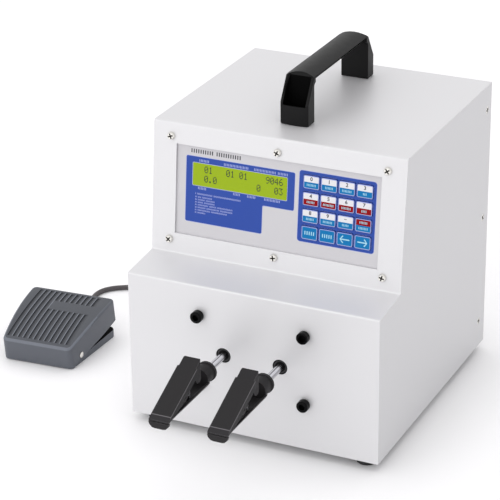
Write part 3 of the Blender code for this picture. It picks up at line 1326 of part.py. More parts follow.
def power_inlet():
    """The mains inlet with three pins, and the pocket of the rocker switch above it."""
    view = inlet_view()
    body = plate("power_inlet",
                 [rectangle(-INLET_BODY_WIDTH / 2, INLET_BODY_WIDTH / 2,
                            -INLET_BODY_HEIGHT / 2, INLET_BODY_HEIGHT / 2)],
                 -INLET_BODY_DEPTH, GAP + JOIN_OVERLAP, view, BLACK_PLASTIC)
    flange = plate("flange",
                   [rectangle(-INLET_FLANGE_WIDTH / 2, INLET_FLANGE_WIDTH / 2,
                              -INLET_FLANGE_HEIGHT / 2, INLET_FLANGE_HEIGHT / 2, INLET_CORNER)],
                   GAP, GAP + INLET_FLANGE_THICKNESS, view)
    body = join(body, flange)
    face = GAP + INLET_FLANGE_THICKNESS
    socket = fillet(
        [(-INLET_SOCKET_WIDTH / 2, -INLET_SOCKET_HEIGHT / 2 - INLET_SOCKET_BELOW),
         (INLET_SOCKET_WIDTH / 2, -INLET_SOCKET_HEIGHT / 2 - INLET_SOCKET_BELOW),
         (INLET_SOCKET_WIDTH / 2, INLET_SOCKET_HEIGHT / 2 - INLET_SOCKET_BELOW),
         (-INLET_SOCKET_WIDTH / 2, INLET_SOCKET_HEIGHT / 2 - INLET_SOCKET_BELOW)],
        [0, 0, INLET_SOCKET_CORNER, INLET_SOCKET_CORNER],
    )
    pins = []
    for step, rise in ((-1, 0), (0, INLET_EARTH_RISE), (1, 0)):
        x = step * INLET_PIN_PITCH
        z = rise - INLET_SOCKET_BELOW - INLET_PIN_WIDTH / 2
        pins.append(rectangle(x - INLET_PIN_THICKNESS / 2, x + INLET_PIN_THICKNESS / 2,
                              z, z + INLET_PIN_WIDTH))
    pinned = plate("socket_floor", [socket, *pins], face - INLET_SOCKET_DEPTH,
                   face - INLET_MOUTH_DEPTH + JOIN_OVERLAP / 2, view)
    mouth = plate("socket_mouth", [socket], face - INLET_MOUTH_DEPTH, face + OVERRUN, view)
    half_x = SWITCH_WIDTH / 2 + GAP
    half_z = SWITCH_HEIGHT / 2 + GAP
    pocket = plate("switch_pocket",
                   [rectangle(-half_x, half_x, SWITCH_ABOVE - half_z, SWITCH_ABOVE + half_z)],
                   face - SWITCH_POCKET_DEPTH, face + OVERRUN, view)
    combine(body, [pinned, mouth, pocket], "DIFFERENCE")


def power_switch():
    """The rocker: two faces that meet at a shallow angle over a round keel."""
    face = GAP + INLET_FLANGE_THICKNESS
    pivot = inlet_view() @ shift(0, SWITCH_ABOVE, face - SWITCH_PIVOT_DEPTH)
    reach = SWITCH_HEIGHT / 2 - 2 * GAP
    crest = SWITCH_PIVOT_DEPTH + SWITCH_PROUD
    low_edge = crest - reach * math.tan(SWITCH_ROCK)
    side_half = reach * SWITCH_SIDE_SHARE
    keel_half = SWITCH_KEEL * SWITCH_KEEL_SHARE
    side = [(-reach, low_edge), (0, crest - SWITCH_PROUD / 2), (reach, crest),
            (side_half, 0), (keel_half, -SWITCH_KEEL), (-keel_half, -SWITCH_KEEL),
            (-side_half, 0)]
    rocker = plate("power_switch", [side], -SWITCH_WIDTH / 2, SWITCH_WIDTH / 2,
                   pivot @ SIDE_VIEW, BLACK_PLASTIC)
    recentre(rocker, pivot)


def pedal_socket():
    """The cord's gland in the rear panel: neck, flange, nut and tapered boot."""
    place = shift(GLAND_CENTRE_X, HOUSING_DEPTH, GLAND_HEIGHT) @ REAR_VIEW
    nut_end = GAP + GLAND_FLANGE_WIDTH + GLAND_NUT_WIDTH
    profile = [
        (0, nut_end + GLAND_BOOT_LENGTH),
        (GLAND_BOOT_TIP_RADIUS, nut_end + GLAND_BOOT_LENGTH),
        (GLAND_BOOT_RADIUS, nut_end),
        (GLAND_NUT_RADIUS * GLAND_NUT_SHARE, nut_end),
        (GLAND_NUT_RADIUS * GLAND_NUT_SHARE, GAP + GLAND_FLANGE_WIDTH),
        (GLAND_NUT_RADIUS, GAP + GLAND_FLANGE_WIDTH),
        (GLAND_NUT_RADIUS, GAP),
        (GLAND_NECK_RADIUS, GAP),
        (GLAND_NECK_RADIUS, -SHEET - GLAND_NUT_WIDTH),
        (0, -SHEET - GLAND_NUT_WIDTH),
    ]
    turned("pedal_socket", profile, place, BLACK_PLASTIC, SCREW_STEPS)


# Foot pedal
PEDAL_VIEW = shift(PEDAL_X, PEDAL_Y, 0) @ Matrix.Rotation(PEDAL_TURN, 4, "Z")


def pedal_plan(inset, corner):
    """The pedal's plan, wider at the rear, made smaller by an inset."""
    front = PEDAL_FRONT_WIDTH / 2 - inset
    rear = PEDAL_REAR_WIDTH / 2 - inset
    low = -PEDAL_FRONT_LEAN + inset
    high = PEDAL_LENGTH - inset
    return fillet([(-front, low), (front, low), (rear, high), (-rear, high)], corner)


def pedal_cover_side(inset):
    """The cover's side view: leaning front, crowned top, rear wall, and a wedge underneath."""
    hinge_y = PEDAL_HINGE_BACK
    lift = (PEDAL_LENGTH - hinge_y) * math.tan(PEDAL_TRAVEL)
    front_low = PEDAL_BASE_FRONT_HEIGHT + PEDAL_FRONT_CLEARANCE
    rear_low = PEDAL_BASE_REAR_HEIGHT + GAP * 2 + lift
    top = []
    front_top = -PEDAL_FRONT_LEAN + inset
    rear_top = PEDAL_LENGTH - PEDAL_REAR_LEAN - inset
    for step in range(PEDAL_TOP_STEPS + 1):
        share = step / PEDAL_TOP_STEPS
        height = PEDAL_FRONT_HEIGHT + (PEDAL_REAR_HEIGHT - PEDAL_FRONT_HEIGHT) * share
        height += PEDAL_TOP_CROWN * 4 * share * (1 - share)
        top.append((front_top + (rear_top - front_top) * share, height - inset))
    bottom = OVERRUN if inset else 0
    return [
        (inset, front_low - bottom), (hinge_y, front_low - bottom),
        (PEDAL_LENGTH - inset, rear_low - bottom), *reversed(top),
    ]


def pedal_cover():
    """The ribbed cover that tips on the hinge pin, hollow underneath."""
    wide = PEDAL_REAR_WIDTH / 2 + OVERRUN
    cover = plate("pedal_cover", [pedal_cover_side(0)], -wide, wide, PEDAL_VIEW @ SIDE_VIEW,
                  GREY_PLASTIC)
    plan = plate("plan", [pedal_plan(0, PEDAL_CORNER)], -OVERRUN,
                 PEDAL_REAR_HEIGHT + 2 * OVERRUN, PEDAL_VIEW)
    cover = combine(cover, [plan], "INTERSECT")
    inner = plate("inner", [pedal_cover_side(PEDAL_WALL)], -wide, wide, PEDAL_VIEW @ SIDE_VIEW)
    inner_plan = plate("inner_plan", [pedal_plan(PEDAL_WALL, PEDAL_CORNER - PEDAL_WALL)],
                       -2 * OVERRUN, PEDAL_REAR_HEIGHT + 3 * OVERRUN, PEDAL_VIEW)
    inner = combine(inner, [inner_plan], "INTERSECT")
    cover = combine(cover, [inner], "DIFFERENCE")
    hinge = PEDAL_VIEW @ SIDE_VIEW @ shift(PEDAL_HINGE_BACK, PEDAL_HINGE_HEIGHT, 0)
    pin_hole = rod("pin_hole", PEDAL_PIN_RADIUS + GAP, -wide, wide, hinge, steps=SCREW_STEPS)
    cover = cut(cover, *grooves(), pin_hole)
    recentre(cover, PEDAL_VIEW @ shift(0, PEDAL_HINGE_BACK, PEDAL_HINGE_HEIGHT))


def grooves():
    """The grooves between the cover's lengthwise ribs, which stop at the plain patch."""
    cutters = []
    patch_rear = PEDAL_LENGTH - PEDAL_PATCH_BACK
    spans = (
        (-PEDAL_FRONT_LEAN + PEDAL_RIB_END, patch_rear - PEDAL_PATCH_LENGTH),
        (patch_rear, PEDAL_LENGTH - PEDAL_REAR_LEAN - PEDAL_RIB_END),
    )
    half = PEDAL_GROOVE_WIDTH / 2
    for column in range(PEDAL_RIB_COUNT - 1):
        x = (column - (PEDAL_RIB_COUNT - 2) / 2) * PEDAL_RIB_PITCH
        for start, end in spans:
            bottoms = []
            for step in range(PEDAL_GROOVE_STEPS + 1):
                y = start + (end - start) * step / PEDAL_GROOVE_STEPS
                share = (y + PEDAL_FRONT_LEAN) / (PEDAL_LENGTH + PEDAL_FRONT_LEAN
                                                  - PEDAL_REAR_LEAN)
                height = PEDAL_FRONT_HEIGHT + (PEDAL_REAR_HEIGHT - PEDAL_FRONT_HEIGHT) * share
                height += PEDAL_TOP_CROWN * 4 * share * (1 - share) - PEDAL_GROOVE_DEPTH
                bottoms.append((y, height))
            over = PEDAL_REAR_HEIGHT + OVERRUN
            outline = [*bottoms, (end, over), (start, over)]
            cutters.append(plate("groove", [outline], x - half, x + half,
                                 PEDAL_VIEW @ SIDE_VIEW))
    return cutters


def pedal_base():
    """The base: a wedge-shaped slab with the hinge ears, pin, switch block and cord boot."""
    side = [
        (PEDAL_BASE_SETBACK, 0), (PEDAL_LENGTH, 0), (PEDAL_LENGTH, PEDAL_BASE_REAR_HEIGHT),
        (PEDAL_BASE_SETBACK, PEDAL_BASE_FRONT_HEIGHT),
    ]
    wide = PEDAL_REAR_WIDTH / 2 + OVERRUN
    base = plate("pedal_base", [side], -wide, wide, PEDAL_VIEW @ SIDE_VIEW, GREY_PLASTIC)
    plan = plate("plan", [pedal_plan(0, PEDAL_CORNER)], -OVERRUN, PEDAL_REAR_HEIGHT, PEDAL_VIEW)
    base = combine(base, [plan], "INTERSECT")
    hinge = PEDAL_VIEW @ SIDE_VIEW @ shift(PEDAL_HINGE_BACK, PEDAL_HINGE_HEIGHT, 0)
    widen = (PEDAL_REAR_WIDTH - PEDAL_FRONT_WIDTH) / 2 / (PEDAL_LENGTH + PEDAL_FRONT_LEAN)
    side_half = PEDAL_FRONT_WIDTH / 2 + widen * (PEDAL_HINGE_BACK - PEDAL_EAR_RADIUS)
    ear_outer = side_half - PEDAL_WALL - 2 * GAP
    ear_inner = ear_outer - PEDAL_EAR_WIDTH
    ear_outline = arc(PEDAL_EAR_RADIUS, 0, math.pi, CROWN_STEPS)
    ear_outline += [(-PEDAL_EAR_RADIUS, -PEDAL_HINGE_HEIGHT + PEDAL_BASE_FRONT_HEIGHT / 2),
                    (PEDAL_EAR_RADIUS, -PEDAL_HINGE_HEIGHT + PEDAL_BASE_FRONT_HEIGHT / 2)]
    ears = [plate("ear", [ear_outline], ear_inner, ear_outer, hinge),
            plate("ear", [ear_outline], -ear_outer, -ear_inner, hinge)]
    pin_half = side_half - PEDAL_WALL / 4
    pin = rod("pin", PEDAL_PIN_RADIUS, -pin_half, pin_half, hinge, steps=SCREW_STEPS)
    block_rear = PEDAL_LENGTH - PEDAL_SWITCH_ROOM
    block_outline = rectangle(-PEDAL_SWITCH_WIDTH / 2, PEDAL_SWITCH_WIDTH / 2,
                              block_rear - PEDAL_SWITCH_LENGTH, block_rear)
    block = plate("switch_block", [block_outline], PEDAL_BASE_FRONT_HEIGHT / 2,
                  PEDAL_BASE_FRONT_HEIGHT + PEDAL_SWITCH_HEIGHT, PEDAL_VIEW)
    boot_view = PEDAL_VIEW @ shift(0, PEDAL_LENGTH, PEDAL_BOOT_HEIGHT) @ REAR_VIEW
    boot = turned("boot", [
        (0, PEDAL_BOOT_LENGTH),
        (PEDAL_BOOT_TIP_RADIUS, PEDAL_BOOT_LENGTH),
        (PEDAL_BOOT_RADIUS, 0),
        (PEDAL_BOOT_RADIUS, -2 * JOIN_OVERLAP),
        (0, -2 * JOIN_OVERLAP),
    ], boot_view)
    join(base, *ears, pin, block, boot)


# Cord
def smooth_route(points, count):
    """Evenly spaced points of a smooth curve through the route's points."""
    dense = []
    padded = [points[0], *points, points[-1]]
    for index in range(1, len(padded) - 2):
        p0, p1, p2, p3 = (Vector(padded[index + offset]) for offset in (-1, 0, 1, 2))
        for step in range(ROUTE_STEPS):
            t = step / ROUTE_STEPS
            dense.append(0.5 * (2 * p1 + (p2 - p0) * t + (2 * p0 - 5 * p1 + 4 * p2 - p3) * t * t
                                + (3 * p1 - p0 - 3 * p2 + p3) * t ** 3))
    dense.append(Vector(points[-1]))
    walked = [0]
    for before, after in zip(dense, dense[1:]):
        walked.append(walked[-1] + (after - before).length)
    spaced = []
    cursor = 0
    for step in range(count):
        wanted = walked[-1] * step / (count - 1)
        while cursor < len(walked) - 2 and walked[cursor + 1] < wanted:
            cursor += 1
        span = walked[cursor + 1] - walked[cursor]
        spaced.append(dense[cursor].lerp(dense[cursor + 1], (wanted - walked[cursor]) / span))
    return spaced


def length_of(points):
    """The length along the points."""
    return sum((Vector(b) - Vector(a)).length for a, b in zip(points, points[1:]))


def coil_points():
    """A round coil in two layers: it spirals in on the table, climbs, and spirals out on top."""
    count = round(COIL_TURNS * COIL_POINTS_PER_TURN)
    low = CORD_RADIUS + CORD_LIFT
    middle = COIL_TURNS / 2
    points = []
    for step in range(count + 1):
        turn = COIL_TURNS * step / count
        angle = COIL_START_ANGLE - math.tau * turn
        radius = COIL_INNER_RADIUS + COIL_PITCH * abs(turn - middle)
        climb = min(max((turn - middle) / COIL_CLIMB_TURNS + 0.5, 0), 1)
        height = low + COIL_LAYER_RISE * climb * climb * (3 - 2 * climb)
        points.append(Vector((COIL_CENTRE[0] + radius * math.cos(angle),
                              COIL_CENTRE[1] + radius * math.sin(angle), height)))
    for index, sign in ((0, 1), (-1, -1)):
        near = points[1] if index == 0 else points[-2]
        ahead = (points[index] - near).normalized()
        lead = points[index] + Vector((ahead.x, ahead.y, 0)).normalized() * CORD_RADIUS * 2
        points.insert(0 if sign > 0 else len(points), lead)
    return points


def least_gap(points, skip):
    """The least distance between the tube's surfaces at points that aren't neighbours."""
    gap = min(
        (points[a] - points[b]).length
        for a in range(len(points)) for b in range(a + skip, len(points))
    )
    return gap - 2 * CORD_RADIUS


def cord():
    """The pedal's cord: the run from the pedal, the coil that puts it away, and the tail."""
    coil = coil_points()
    start_out = (coil[0] - coil[1]).normalized()
    end_out = (coil[-1] - coil[-2]).normalized()
    boot_tip = PEDAL_VIEW @ Vector((0, PEDAL_LENGTH + PEDAL_BOOT_LENGTH + GAP,
                                    PEDAL_BOOT_HEIGHT))
    back = PEDAL_VIEW.to_3x3() @ Vector((0, 1, 0))
    diameter = 2 * CORD_RADIUS
    run_end = coil[0] + start_out * GAP
    run = [boot_tip, boot_tip + back * diameter, *map(Vector, CORD_RUN_ROUTE),
           run_end + start_out * diameter, run_end]
    gland_tip = Vector((GLAND_CENTRE_X,
                        HOUSING_DEPTH + GAP + GLAND_FLANGE_WIDTH + GLAND_NUT_WIDTH
                        + GLAND_BOOT_LENGTH + GAP, GLAND_HEIGHT))
    tail_start = coil[-1] + end_out * GAP
    tail = [tail_start, tail_start + end_out * diameter, *map(Vector, CORD_TAIL_ROUTE),
            gland_tip + Vector((0, 2 * diameter, 0)), gland_tip + Vector((0, diameter, 0)),
            gland_tip]
    run_points = smooth_route(run, CORD_POINTS)
    tail_points = smooth_route(tail, TAIL_POINTS)
    tube("cord_run", run_points, CORD_RADIUS, Matrix(), CORD_GREY)
    tube("cord_coil", coil, CORD_RADIUS, Matrix(), CORD_GREY)
    tube("cord_tail", tail_points, CORD_RADIUS, Matrix(), CORD_GREY)
    total = length_of(run_points) + length_of(coil) + length_of(tail_points)
    print("cord length", round(length_of(run_points), 4), round(length_of(coil), 4),
          round(length_of(tail_points), 4), "total", round(total, 4),
          "coil's least gap to itself", round(least_gap(coil, COIL_POINTS_PER_TURN // 2), 5))


def set_down():
    """Move the assembly so that the origin is the middle of its footprint, without the cord."""
    bpy.context.view_layer.update()
    graph = bpy.context.evaluated_depsgraph_get()
    lows, highs = [], []
    for piece in PARTS.objects:
        if piece.type != "MESH" or piece.name.startswith("cord_"):
            continue
        shape = piece.evaluated_get(graph)
        corners = [shape.matrix_world @ vertex.co for vertex in shape.data.vertices]
        lows.append([min(corner[axis] for corner in corners) for axis in (0, 1)])
        highs.append([max(corner[axis] for corner in corners) for axis in (0, 1)])
    middle = [
        (min(low[axis] for low in lows) + max(high[axis] for high in highs)) / 2
        for axis in (0, 1)
    ]
    ASSEMBLY.location = (-middle[0], -middle[1], 0)
    print("origin moved to", [round(value, 6) for value in middle])


def shade_round_forms():
    """Smooth shading, with an edge wherever two faces meet at a real angle."""
    for piece in PARTS.objects:
        if piece.type == "MESH":
            piece.data.shade_smooth()
            piece.data.set_sharp_from_angle(angle=SMOOTH_ANGLE)


def build():
    """Build every piece."""
    housing_shell()
    rear_chassis()
    feet()
    control_plate()
    lcd_module()
    keys()
    control_board()
    panel_screws()
    drive_frame()
    bearings()
    cap_screws()
    spindle_set("left", -SPINDLE_OFFSET, 0)
    spindle_set("right", SPINDLE_OFFSET, math.pi)
    pinion()
    motor()
    for name, x in (("left", -SPINDLE_OFFSET), ("right", SPINDLE_OFFSET)):
        clip_body(name, x)
        clip_lever(name, x)
        clip_spring(name, x)
    handle()
    power_supply()
    power_inlet()
    power_switch()
    pedal_socket()
    pedal_base()
    pedal_cover()
    cord()
    set_down()
    shade_round_forms()


build()
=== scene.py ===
"""The looks of a wire twisting machine with its foot pedal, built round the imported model."""
import math

import bmesh
import bpy
from bpy.props import FloatProperty, FloatVectorProperty, PointerProperty, StringProperty
from mathutils import Matrix, Vector


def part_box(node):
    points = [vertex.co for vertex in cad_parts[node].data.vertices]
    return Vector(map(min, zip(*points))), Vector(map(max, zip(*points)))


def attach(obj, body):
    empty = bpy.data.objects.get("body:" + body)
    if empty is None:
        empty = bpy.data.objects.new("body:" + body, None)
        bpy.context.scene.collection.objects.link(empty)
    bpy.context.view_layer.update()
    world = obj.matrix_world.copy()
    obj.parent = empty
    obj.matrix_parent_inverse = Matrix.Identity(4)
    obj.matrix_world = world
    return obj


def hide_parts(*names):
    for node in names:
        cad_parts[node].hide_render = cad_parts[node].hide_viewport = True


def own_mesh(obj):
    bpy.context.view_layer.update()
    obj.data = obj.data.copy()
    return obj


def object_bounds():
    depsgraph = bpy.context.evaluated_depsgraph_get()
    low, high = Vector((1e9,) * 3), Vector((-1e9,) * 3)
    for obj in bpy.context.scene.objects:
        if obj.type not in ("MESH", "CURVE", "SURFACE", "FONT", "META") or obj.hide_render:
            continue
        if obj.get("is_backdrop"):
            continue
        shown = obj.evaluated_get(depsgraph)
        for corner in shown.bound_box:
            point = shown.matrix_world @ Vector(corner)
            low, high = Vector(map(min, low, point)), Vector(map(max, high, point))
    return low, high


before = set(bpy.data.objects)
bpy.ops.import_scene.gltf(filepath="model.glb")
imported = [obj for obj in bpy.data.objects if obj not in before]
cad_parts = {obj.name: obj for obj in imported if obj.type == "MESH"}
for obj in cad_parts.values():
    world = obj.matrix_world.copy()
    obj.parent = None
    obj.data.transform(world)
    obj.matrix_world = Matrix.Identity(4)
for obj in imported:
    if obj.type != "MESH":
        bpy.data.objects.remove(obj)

bl_info = {
    "name": "Wire Twisting Machine",
    "version": (1, 0, 0),
    "blender": (4, 5, 0),
    "location": "3D View > Sidebar > Twister",
    "description": "Builds the looks of a wire twisting machine with its foot pedal",
    "category": "Object",
}

# Places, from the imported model
SHELL_LOW, SHELL_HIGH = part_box("housing_shell")
ORIGIN = Vector(((SHELL_LOW.x + SHELL_HIGH.x) / 2, SHELL_LOW.y, 0))
MACHINE = Matrix.Translation(ORIGIN)
HALF_WIDTH = (SHELL_HIGH.x - SHELL_LOW.x) / 2
SHELL_DEPTH = SHELL_HIGH.y - SHELL_LOW.y
SHELL_BOTTOM = SHELL_LOW.z
SHELL_TOP = SHELL_HIGH.z
SPINDLE_LOW, SPINDLE_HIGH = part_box("spindle_right")
SPINDLE_X = (SPINDLE_LOW.x + SPINDLE_HIGH.x) / 2 - ORIGIN.x
SPINDLE_Z = (SPINDLE_LOW.z + SPINDLE_HIGH.z) / 2
CAP_SCREWS = ("upper_left", "upper_right", "lower_left", "lower_right")
PANEL_SCREWS = ("top_left", "top_middle", "top_right",
                "bottom_left", "bottom_middle", "bottom_right")
FEET = ("front_left", "front_right", "rear_left", "rear_right")
SIDES = ("left", "right")

# The stepped front, as in the part
LOWER_FRONT_TOP = 0.135098
LEDGE_REAR = (0.0425, 0.138698)
PANEL_REAR = 0.0538
SHEET = 0.0015
BEND_RADIUS = 0.0016
PANEL_LEAN = math.atan2(PANEL_REAR - LEDGE_REAR[0], SHELL_TOP - LEDGE_REAR[1])
PANEL_LENGTH = math.hypot(PANEL_REAR - LEDGE_REAR[0], SHELL_TOP - LEDGE_REAR[1])
OPENING_HALF = 0.08925
OPENING_LOW = 0.0172
OPENING_HIGH = 0.0931
PLATE_BEHIND = 0.0018
BEARING_RADIUS = 0.0065

# Steps of round forms, and how near counts as the same
ROUND_STEPS = 48
SMALL_STEPS = 32
CORNER_STEPS = 6
BEND_STEPS = 8
SIDE_BEND_STEPS = 4
HEXAGON = 6
TINY = 1e-6
ON_FACE = 1e-5
CAD_MERGE = 2e-6
CAD_FLAT = math.radians(1)
SMOOTH_ANGLE = math.radians(38)
CORNER_ANGLE = math.radians(25)

# Plain digits
CAPITAL_SHARE = 0.7
LETTER_WEIGHT = 0.03
LETTER_STEPS = 3


def turn(degrees, axis):
    """A turn about an axis."""
    return Matrix.Rotation(math.radians(degrees), 4, axis)


def shift(x, y, z):
    """A move."""
    return Matrix.Translation((x, y, z))


FRONT_VIEW = turn(90, "X")
SIDE_VIEW = Matrix(((0, 0, 1), (1, 0, 0), (0, 1, 0))).to_4x4()
RIGHT_VIEW = turn(90, "Z") @ FRONT_VIEW
LEFT_VIEW = turn(-90, "Z") @ FRONT_VIEW
PANEL_VIEW = (MACHINE @ shift(0, *LEDGE_REAR)
              @ Matrix.Rotation(math.pi / 2 - PANEL_LEAN, 4, "X"))
PLATE_FACE = PANEL_VIEW @ shift(0, 0, -PLATE_BEHIND)
SIDE_VIEWS = ((-1, "left", LEFT_VIEW), (1, "right", RIGHT_VIEW))


def tint(red, green, blue):
    """A colour of the photograph's kind, 0 to 255, as Blender's linear one."""
    values = [channel / 255 for channel in (red, green, blue)]
    return tuple(
        value / 12.92 if value <= 0.04045 else ((value + 0.055) / 1.055) ** 2.4
        for value in values
    )


def length(name, text, default):
    """A size that the user can change."""
    return FloatProperty(name=name, description=text, default=default, min=0,
                         precision=5, unit="LENGTH")


def colour(name, text, red, green, blue):
    """A colour that the user can change."""
    return FloatVectorProperty(name=name, description=text, default=tint(red, green, blue),
                               min=0, max=1, size=3, subtype="COLOR")


class TwisterSizes(bpy.types.PropertyGroup):
    """Sizes of the pieces that the looks add."""
    moulded_edge: length("Moulded edge", "Rounding of the handle's and pedal's edges", 0.0008)
    pedal_edge: length("Pedal edge", "Rounding of the pedal cover's top", 0.0020)
    clip_edge: length("Clip edge", "Rounding of the clips' edges", 0.0003)
    key_width: length("Key width", "Width of a key", 0.0137)
    key_height: length("Key height", "Height of a key", 0.0109)
    key_pitch_across: length("Key pitch across", "From key to key across", 0.0152)
    key_pitch_up: length("Key pitch up", "From key to key up the panel", 0.01405)
    key_corner: length("Key corner", "Rounding of a key's corners", 0.0012)
    key_border: length("Key border", "Pale border round a key", 0.00055)
    digit_height: length("Digit height", "Height of the keys' digits", 0.0030)
    dot_pitch: length("Dot pitch", "From dot to dot on the display", 0.00066)
    screw_slot: length("Screw slot", "Width of the panel screws' cross slots", 0.0012)
    screw_cross: length("Screw cross", "Length of the panel screws' cross slots", 0.0046)


class TwisterColours(bpy.types.PropertyGroup):
    """Colours of the object's materials."""
    coat: colour("Coat", "Powder coat of the housing", 203, 201, 203)
    film: colour("Film", "Printed film of the control plate", 216, 215, 218)
    blue: colour("Blue", "Printed fields of the control plate", 10, 66, 166)
    border: colour("Border", "Thin printed borders", 172, 182, 232)
    key_top: colour("Key top", "Upper half of the digit keys", 238, 238, 242)
    cyan: colour("Cyan", "Cyan keys", 0, 122, 186)
    red: colour("Red", "Red keys", 150, 0, 6)
    glow: colour("Display", "Lit ground of the display", 148, 173, 28)
    handle: colour("Handle", "Black moulding of the handle", 7, 7, 8)
    clip: colour("Clip", "Charcoal moulding of the clips", 33, 31, 33)
    pedal: colour("Pedal", "Grey moulding of the pedal", 94, 98, 106)
    jacket: colour("Jacket", "Jacket of the pedal's cord", 84, 80, 81)


class TwisterStage(bpy.types.PropertyGroup):
    """The stage."""
    key_light: FloatProperty(name="Key light", description="Watts of the main lamp",
                             default=9, min=0)
    surround: FloatProperty(name="Surround", description="Strength of the room's light",
                            default=1.0, min=0)
    display_top: StringProperty(name="Upper line", description="Upper line of the display",
                                default="  01   01 01    9046")
    display_bottom: StringProperty(name="Lower line", description="Lower line of the display",
                                   default="  0.0         0   03")


def sizes():
    """The sizes of the open scene."""
    return bpy.context.scene.twister_sizes


def colours():
    """The colours of the open scene."""
    return bpy.context.scene.twister_colours


# Outlines
def arc(radius, start, end, steps, centre=(0, 0)):
    """The points of an arc from the start angle to the end angle."""
    return [
        (centre[0] + radius * math.cos(start + (end - start) * step / steps),
         centre[1] + radius * math.sin(start + (end - start) * step / steps))
        for step in range(steps + 1)
    ]


def circle(radius, steps=ROUND_STEPS, centre=(0, 0), first=0):
    """A circle's outline."""
    return arc(radius, first, first + math.tau, steps, centre)[:-1]


def fillet(corners, radii, steps=CORNER_STEPS):
    """The outline through the corners, each rounded by an arc of its radius."""
    if not hasattr(radii, "__len__"):
        radii = [radii] * len(corners)
    outline = []
    for index, corner in enumerate(corners):
        here = Vector(corner)
        back = (Vector(corners[index - 1]) - here).normalized()
        ahead = (Vector(corners[(index + 1) % len(corners)]) - here).normalized()
        if not radii[index]:
            outline.append(tuple(here))
            continue
        half = back.angle(ahead) / 2
        centre = here + (back + ahead).normalized() * (radii[index] / math.sin(half))
        reach = radii[index] / math.tan(half)
        first = here + back * reach - centre
        last = here + ahead * reach - centre
        for step in range(steps + 1):
            spoke = first.lerp(last, step / steps).normalized() * radii[index]
            outline.append(tuple(centre + spoke))
    return outline


def rectangle(left, right, low, high, corner=0, steps=CORNER_STEPS):
    """A rectangle's outline, with round corners."""
    corners = [(left, low), (right, low), (right, high), (left, high)]
    return fillet(corners, corner, steps)


def cross(across, slot):
    """The outline of a cross recess."""
    reach, half = across / 2, slot / 2
    outline = []
    for quarter in range(4):
        turned = Matrix.Rotation(quarter * math.pi / 2, 2)
        for corner in ((half, half), (reach, half), (reach, -half)):
            outline.append(tuple(turned @ Vector((corner[0], -corner[1]))))
    return outline


# Solids
def of_kind(made, kind):
    """What an operator made of one kind: corners, edges or faces."""
    return [item for item in made["geom"] if isinstance(item, kind)]


def pour(work, target):
    """Add a finished mesh to another, and let it go."""
    mesh = bpy.data.meshes.new("solid")
    work.to_mesh(mesh)
    work.free()
    target.from_mesh(mesh)
    bpy.data.meshes.remove(mesh)


def ring_of(work, outline, height):
    """The closed loop of edges through an outline."""
    corners = [work.verts.new((x, y, height)) for x, y in outline]
    return [work.edges.new(pair) for pair in zip(corners, corners[1:] + corners[:1])]


def flat_faces(work, outlines, height):
    """The flat faces within the first outline and outside the others."""
    edges = [edge for outline in outlines for edge in ring_of(work, outline, height)]
    if len(outlines) == 1:
        return bmesh.ops.contextual_create(work, geom=edges)["faces"]
    made = bmesh.ops.triangle_fill(work, use_beauty=True, use_dissolve=False, edges=edges)
    return of_kind(made, bmesh.types.BMFace)


def lift_faces(work, outlines, low, high):
    """A closed body between two heights, over the outlines' flat faces."""
    made = bmesh.ops.extrude_face_region(work, geom=flat_faces(work, outlines, low))
    bmesh.ops.translate(work, verts=of_kind(made, bmesh.types.BMVert), vec=(0, 0, high - low))


def spin_profile(work, profile, steps):
    """The surface that a profile of radius and height turns out."""
    corners = [work.verts.new((radius, 0, height)) for radius, height in profile]
    edges = [work.edges.new(pair) for pair in zip(corners, corners[1:])]
    bmesh.ops.spin(work, geom=corners + edges, cent=(0, 0, 0), axis=(0, 0, 1),
                   angle=math.tau, steps=steps, use_merge=True)


def soften(work, width, segments, angle=CORNER_ANGLE, test=None):
    """Round the edges that pass the test, or without one those that meet at a real angle."""
    edges = [
        edge for edge in work.edges
        if len(edge.link_faces) == 2
        and (test(edge) if test else edge.calc_face_angle(0) > angle)
    ]
    if not width or not edges:
        return []
    made = bmesh.ops.bevel(work, geom=edges, offset=width, offset_type="OFFSET",
                           segments=segments, profile=0.5, affect="EDGES", material=-1,
                           clamp_overlap=True)
    return made["faces"]


def trim(work, place, direction):
    """Cut off what lies beyond a plane, and close the cut."""
    cut = bmesh.ops.bisect_plane(
        work, geom=[*work.verts, *work.edges, *work.faces], dist=TINY, plane_co=place,
        plane_no=direction.normalized(), clear_outer=True)
    edges = [item for item in cut["geom_cut"] if isinstance(item, bmesh.types.BMEdge)]
    bmesh.ops.triangle_fill(work, use_beauty=True, use_dissolve=True, edges=edges)


def trim_along(work, points):
    """Cut off what lies outside an anticlockwise line of points in plan."""
    for (x, y), (next_x, next_y) in zip(points, points[1:]):
        trim(work, Vector((x, y, 0)), Vector((next_y - y, x - next_x, 0)))


def add_solid(solids, work, place, material=0):
    """Put a finished solid in its place among a piece's solids."""
    work.transform(place)
    bmesh.ops.remove_doubles(work, verts=work.verts, dist=TINY)
    bmesh.ops.recalc_face_normals(work, faces=work.faces)
    if material is not None:
        for face in work.faces:
            face.material_index = material
    pour(work, solids)


def add_plate(solids, outlines, low, high, place, material=0):
    """A plate between two heights."""
    work = bmesh.new()
    lift_faces(work, outlines, low, high)
    add_solid(solids, work, place, material)


def add_turned(solids, profile, place, material=0):
    """A turned solid from the profile of its radius and height."""
    work = bmesh.new()
    spin_profile(work, profile, ROUND_STEPS)
    add_solid(solids, work, place, material)


